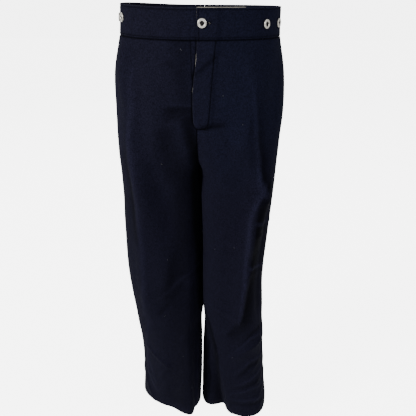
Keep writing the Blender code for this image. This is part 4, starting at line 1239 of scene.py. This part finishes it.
topstitch = {
    "Pitch": 0.0026, "Length": 0.0021, "Thickness": 0.00046, "Slant": 0.0, "Unevenness": 0.06,
    "Thread": darkThread,
}
paths = []
for side, sign in sides.items():
    lift = lapHeight if side == "left" else noLift
    for drop in (bandLook["topStitch"], bandLook["lowStitch"]):
        start = bandLook["endStitch"] if side == "left" else 0.002
        end = reachOf(side, "front", drop) + reachOf(side, "back", drop) - 0.0015
        places = [(a * sign, drop) for a in np.linspace(start, end, 220)]
        paths.append(pathOn(onBand, lift, places, -0.00020))
endPlaces = [
    (float(flyLine("edge", d)) + bandLook["endStitch"], d)
    for d in np.linspace(bandLook["topStitch"], bandLook["lowStitch"], 24)
]
paths.append(pathOn(onBand, lapHeight, endPlaces, -0.00020))
sew("waistband_stitches", paths, topstitch)

flyPlaces = [(float(flyLine("stitch", d)), d) for d in np.linspace(0.0525, 0.2000, 92)]
flyPaths = [pathOn(onFront, lapHeight, flyPlaces, -0.00045)]
rightPlaces = [(-float(rightLine(d)), d) for d in np.linspace(0.0525, 0.113, 40)]
flyPaths.append(pathOn(onFront, noLift, rightPlaces, -0.00030))
tack = [(a, 0.2015 - 0.0003 * math.sin(a * 300)) for a in np.linspace(0.0125, 0.0185, 12)]
flyPaths.append(pathOn(onFront, lapHeight, tack, -0.0001))
sew("fly_stitches", flyPaths, topstitch)

hemLook = dict(topstitch, Pitch=0.0085, Length=0.0011, Thickness=0.00034, Slant=0.9, Unevenness=0.35)
hemPaths = []
for side, sign in sides.items():
    for face, place in (("front", onFront), ("back", onBack)):
        drop = cut["outseam"] - cut["hemDepth"] + 0.002
        reach = reachOf(side, face, drop)
        places = [(a * sign, drop) for a in np.linspace(0.004, reach - 0.004, 90)]
        hemPaths.append(pathOn(place, noLift, places, -0.00006))
sew("hem_stitches", hemPaths, hemLook)

purl = dict(topstitch, Pitch=0.00062, Length=0.0019, Thickness=0.00056, Slant=math.pi / 2, Unevenness=0.08)
ring = []
half = buttonhole["length"] / 2
for angle in np.linspace(0, 2 * math.pi, 90):
    a = max(-1.0, min(1.0, math.cos(angle) * 1.35)) * half + math.cos(angle) * 0.0012
    d = max(-1.0, min(1.0, math.sin(angle) * 9)) * 0.0013
    ring.append((buttonhole["middle"] + a, buttonhole["drop"] + d))
sew("buttonhole_stitches", [pathOn(onBand, lapHeight, ring, 0.00002)], purl)
print("seams stitched")


# Buttons and their threads

button = {
    "radius": 0.0078, "thickness": 0.0026, "dish": 0.0044, "wall": 0.0036, "dishDepth": 0.0014,
    "hole": 0.0009, "holeOffset": 0.0017, "segments": 56,
}
buttonColumns = ("name", "along", "drop", "turn", "tilt")
buttons = (
    ("button_front", 0.0085, 0.0240, 0.75, 0.0),
    ("button_brace_left_a", 0.1270, 0.0270, 1.35, 0.16),
    ("button_brace_left_b", 0.1690, 0.0270, 0.20, -0.05),
    ("button_brace_right_a", -0.1540, 0.0220, 1.50, 0.0),
    ("button_brace_right_b", -0.1960, 0.0240, 0.40, 0.04),
    ("button_brace_back_left", 0.3790, 0.0240, 0.10, 0.0),
    ("button_brace_back_right", -0.3980, 0.0240, 0.90, 0.03),
)


def tube(points, radius, count=8):  # a closed round thread along a short path
    points = np.array(points, float)
    tangents = np.gradient(points, axis=0)
    tangents /= np.linalg.norm(tangents, axis=1, keepdims=True)
    aside = np.cross(tangents[0], (0.31, 0.52, 0.79))
    vertices, faces = [], []
    for i, (point, tangent) in enumerate(zip(points, tangents)):
        aside = aside - tangent * aside.dot(tangent)
        aside /= np.linalg.norm(aside)
        other = np.cross(tangent, aside)
        for k in range(count):
            angle = 2 * math.pi * k / count
            vertices.append(point + (aside * math.cos(angle) + other * math.sin(angle)) * radius)
        if i:
            for k in range(count):
                a, b = (i - 1) * count + k, (i - 1) * count + (k + 1) % count
                faces.append((a, b, b + count, a + count))
    faces.append(tuple(range(count - 1, -1, -1)))
    faces.append(tuple(range(len(vertices) - count, len(vertices))))
    return vertices, faces


def gathered(parts):
    vertices, faces = [], []
    for partVertices, partFaces in parts:
        first = len(vertices)
        vertices += partVertices
        faces += [tuple(first + i for i in face) for face in partFaces]
    return vertices, faces


def joined(name, parts, material, slot):
    vertices, faces = gathered(parts)
    piece = meshOf(name, vertices, faces, [material])
    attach(piece, "root")
    return piece


def buttonProfile():
    r, t, dish, depth = (button[key] for key in ("radius", "thickness", "dish", "dishDepth"))
    profile = [(0.0, 0.0), (r - 0.0012, 0.0), (r - 0.0005, 0.0002), (r - 0.0001, 0.0007), (r, 0.0012)]
    profile += [(r - 0.0001, 0.0018), (r - 0.0005, t - 0.0003), (r - 0.0011, t - 0.00005)]
    profile += [(r - 0.0017, t), (dish + 0.0008, t - 0.00005), (dish + 0.0003, t - 0.0002)]
    profile += [(dish, t - 0.0005), (dish - 0.0006, t - 0.0009), (dish - 0.0012, t - depth)]
    profile += [(0.0020, t - depth - 0.00015), (0.0, t - depth - 0.0002)]
    return profile


def lathe(middle, across, up, normal):
    profile, n = buttonProfile(), button["segments"]
    vertices, faces, dished = [middle + normal * profile[0][1]], [], []
    rings = profile[1:-1]
    for radius, height in rings:
        for k in range(n):
            angle = 2 * math.pi * k / n
            spoke = across * math.cos(angle) + up * math.sin(angle)
            vertices.append(middle + spoke * radius + normal * height)
    vertices.append(middle + normal * profile[-1][1])
    last = len(vertices) - 1
    for k in range(n):
        faces.append((0, 1 + (k + 1) % n, 1 + k))
        dished.append(0)
    for i in range(len(rings) - 1):
        for k in range(n):
            a, b = 1 + i * n + k, 1 + i * n + (k + 1) % n
            faces.append((a, b, b + n, a + n))
            inner = rings[i + 1][0]
            dished.append(2 if inner < button["wall"] else 1 if inner < button["dish"] else 0)
    top = 1 + (len(rings) - 1) * n
    for k in range(n):
        faces.append((top + k, top + (k + 1) % n, last))
        dished.append(2)
    return vertices, faces, dished


def makeButton(row):
    spot = dict(zip(buttonColumns, row))
    lifted = float(lapHeight(np.array([spot["along"]]), spot["drop"])[0]) if spot["along"] > 0 else 0.0
    middle, across, up, normal = frameAt(spot["along"], spot["drop"], lifted + 0.00032)
    tilt = spot["tilt"]
    middle = middle + normal * abs(math.sin(tilt)) * button["radius"] * 0.9
    across = across * math.cos(tilt) - normal * math.sin(tilt)
    normal = np.cross(across, up)
    vertices, faces, dished = lathe(middle, across, up, normal)
    piece = meshOf(spot["name"] + "_metal", vertices, faces, [rimMetal, wallMetal, dishMetal])
    piece.data.polygons.foreach_set("material_index", np.array(dished, np.int32))
    turn = spot["turn"]
    one = across * math.cos(turn) + up * math.sin(turn)
    two = up * math.cos(turn) - across * math.sin(turn)
    holes = []
    for sx, sy in ((1, 1), (-1, 1), (-1, -1), (1, -1)):
        centre = middle + (one * sx + two * sy) * button["holeOffset"]
        holes.append(tube([centre - normal * 0.001, centre + normal * 0.004], button["hole"], 14))
    cutVertices, cutFaces = gathered(holes)
    cutter = meshOf("holes", cutVertices, cutFaces, [rimMetal, wallMetal, dishMetal])
    cutter.data.polygons.foreach_set("material_index", np.full(len(cutFaces), 2, np.int32))
    boolean(piece, cutter)
    bpy.data.objects.remove(cutter)
    piece.data.set_sharp_from_angle(angle=math.radians(38))
    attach(piece, "root")
    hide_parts(spot["name"])
    strands = []
    floor = button["thickness"] - button["dishDepth"] - 0.0002
    for row, sign in ((-1, 1), (1, -1)):
        for lane in (-0.00042, 0.0, 0.00042):
            path = []
            for u in np.linspace(-1, 1, 11):
                level = floor + 0.00070 * (1 - abs(u) ** 3) - 0.0009 * smoothStep(0.75, 1.0, abs(u))
                at = one * u * (button["holeOffset"] + 0.0002) + two * (row * button["holeOffset"] + lane)
                path.append(middle + at + normal * float(level + 0.0001 * sign * u))
            strands.append(tube(path, 0.00027, 6))
    return strands


threads = []
for row in buttons:
    threads += makeButton(row)
joined("button_threads", threads, darkThread, "dark_cotton")
print("buttons made,", len(buttons))


# Loose bits: the pale thread end by the buttonhole, and lint caught on the nap

def looseFibre(place, lift, along, drop, length, heading, bend, radius, level):
    steps = []
    for u in np.linspace(-0.5, 0.5, 9):
        turned = heading + bend * u
        a = along + length * u * math.cos(turned)
        d = drop + length * u * math.sin(turned)
        at, out = place(np.array([a]), d)
        raised = float(lift(np.array([a]), d)[0]) + level + radius * (1 + 1.5 * (1 - 4 * u * u))
        steps.append(at[0] + out[0] * raised)
    return tube(steps, radius, 5)


threadEnd = [
    looseFibre(onBand, lapHeight, 0.0213, 0.0232, 0.0026, 0.75, 0.5, 0.00022, 0.0006),
    looseFibre(onBand, lapHeight, 0.0214, 0.0247, 0.0024, -0.70, 0.4, 0.00020, 0.0007),
]
joined("buttonhole_thread_end", threadEnd, paleThread, "pale_cotton")
lint = (  # along, drop, length, heading, bend
    (0.049, 0.144, 0.0016, 0.4, 0.5), (0.085, 0.196, 0.0014, 1.2, 0.3),
    (-0.090, 0.280, 0.0022, 1.0, 0.8), (-0.140, 0.672, 0.0030, -0.7, 0.6),
    (-0.080, 0.796, 0.0022, 0.3, 0.5), (0.138, 0.784, 0.0026, 0.2, 0.9),
    (0.091, 0.472, 0.0020, 1.4, 0.5), (0.133, 0.464, 0.0018, 0.6, 0.4),
    (-0.028, 0.066, 0.0042, 0.9, 0.5), (-0.143, 0.510, 0.0018, 0.1, 0.7),
    (0.052, 0.640, 0.0018, -0.9, 0.5), (-0.052, 0.905, 0.0020, 0.7, 0.6),
)
fibres = [looseFibre(onFront, noLift, *row, 0.00016, 0.0) for row in lint]
joined("lint", fibres, lintFibre, None)
print("loose threads laid")


# The room: a pale floor below the hems, soft light and the camera

room = {
    "floorZ": -1.10, "floorSize": 24.0, "fillLight": 0.24, "white": 5.4,
    "key": (-2.7, -2.1, 1.5), "keyPower": 132.0, "keySize": 1.0,
    "fill": (1.5, -2.8, 1.6), "fillPower": 32.0, "fillSize": 1.6,
    "back": (-0.4, 2.6, 1.8), "backPower": 60.0, "backSize": 2.0,
    "side": (2.6, -1.0, 1.3), "sidePower": 25.0, "sideSize": 1.4, "aim": (0.0, 0.0, -0.45),
}
half = room["floorSize"] / 2
floorCorners = [(-half, -half), (half, -half), (half, half), (-half, half)]
floorCorners = [(x, y, room["floorZ"]) for x, y in floorCorners]
floorFinish = Finish("Pale floor", {"Base Color": (0.90, 0.90, 0.90, 1.0), "Roughness": 0.9})
floorFinish.shader.inputs["Emission Color"].default_value = (1.0, 1.0, 1.0, 1.0)
seen = floorFinish.add("ShaderNodeLightPath")  # the floor and the backdrop look white but give
floorFinish.feed("Emission Strength", seen * room["white"])  # the cloth only a soft fill
floor = meshOf("floor", floorCorners, [(0, 1, 2, 3)], [floorFinish.material])

world = bpy.data.worlds.new("Studio")
bpy.context.scene.world = world
world.use_nodes = True
backdrop = world.node_tree.nodes["Background"]
backdrop.inputs["Color"].default_value = (1.0, 1.0, 1.0, 1.0)
path = world.node_tree.nodes.new("ShaderNodeLightPath")
strength = world.node_tree.nodes.new("ShaderNodeMapRange")
strength.inputs["To Min"].default_value = room["fillLight"]
strength.inputs["To Max"].default_value = room["white"]
world.node_tree.links.new(path.outputs["Is Camera Ray"], strength.inputs["Value"])
world.node_tree.links.new(strength.outputs["Result"], backdrop.inputs["Strength"])


def softLight(name, spot, power, size):
    light = bpy.data.lights.new(name, "AREA")
    light.energy, light.size = power, size
    lamp = bpy.data.objects.new(name, light)
    lamp.location = spot
    aim = Vector(room["aim"]) - Vector(spot)
    lamp.rotation_euler = aim.to_track_quat("-Z", "Y").to_euler()
    bpy.context.scene.collection.objects.link(lamp)


for name in ("key", "fill", "back", "side"):
    softLight(name + " light", room[name], room[name + "Power"], room[name + "Size"])

view = {"turn": 3.0, "down": 26.2, "distance": 0.912, "aside": 0.0127, "height": 0.0445, "lens": 37.73}
cameraData = bpy.data.cameras.new("camera")
cameraData.lens, cameraData.sensor_width = view["lens"], 36.0
camera = bpy.data.objects.new("camera", cameraData)
turn = math.radians(view["turn"])
camera.location = Matrix.Rotation(turn, 3, "Z") @ Vector((view["aside"], -view["distance"], 0.0))
camera.location.z = view["height"]
camera.rotation_euler = (math.radians(90 - view["down"]), 0.0, turn)
bpy.context.scene.collection.objects.link(camera)
bpy.context.scene.camera = camera

print("scene ready")
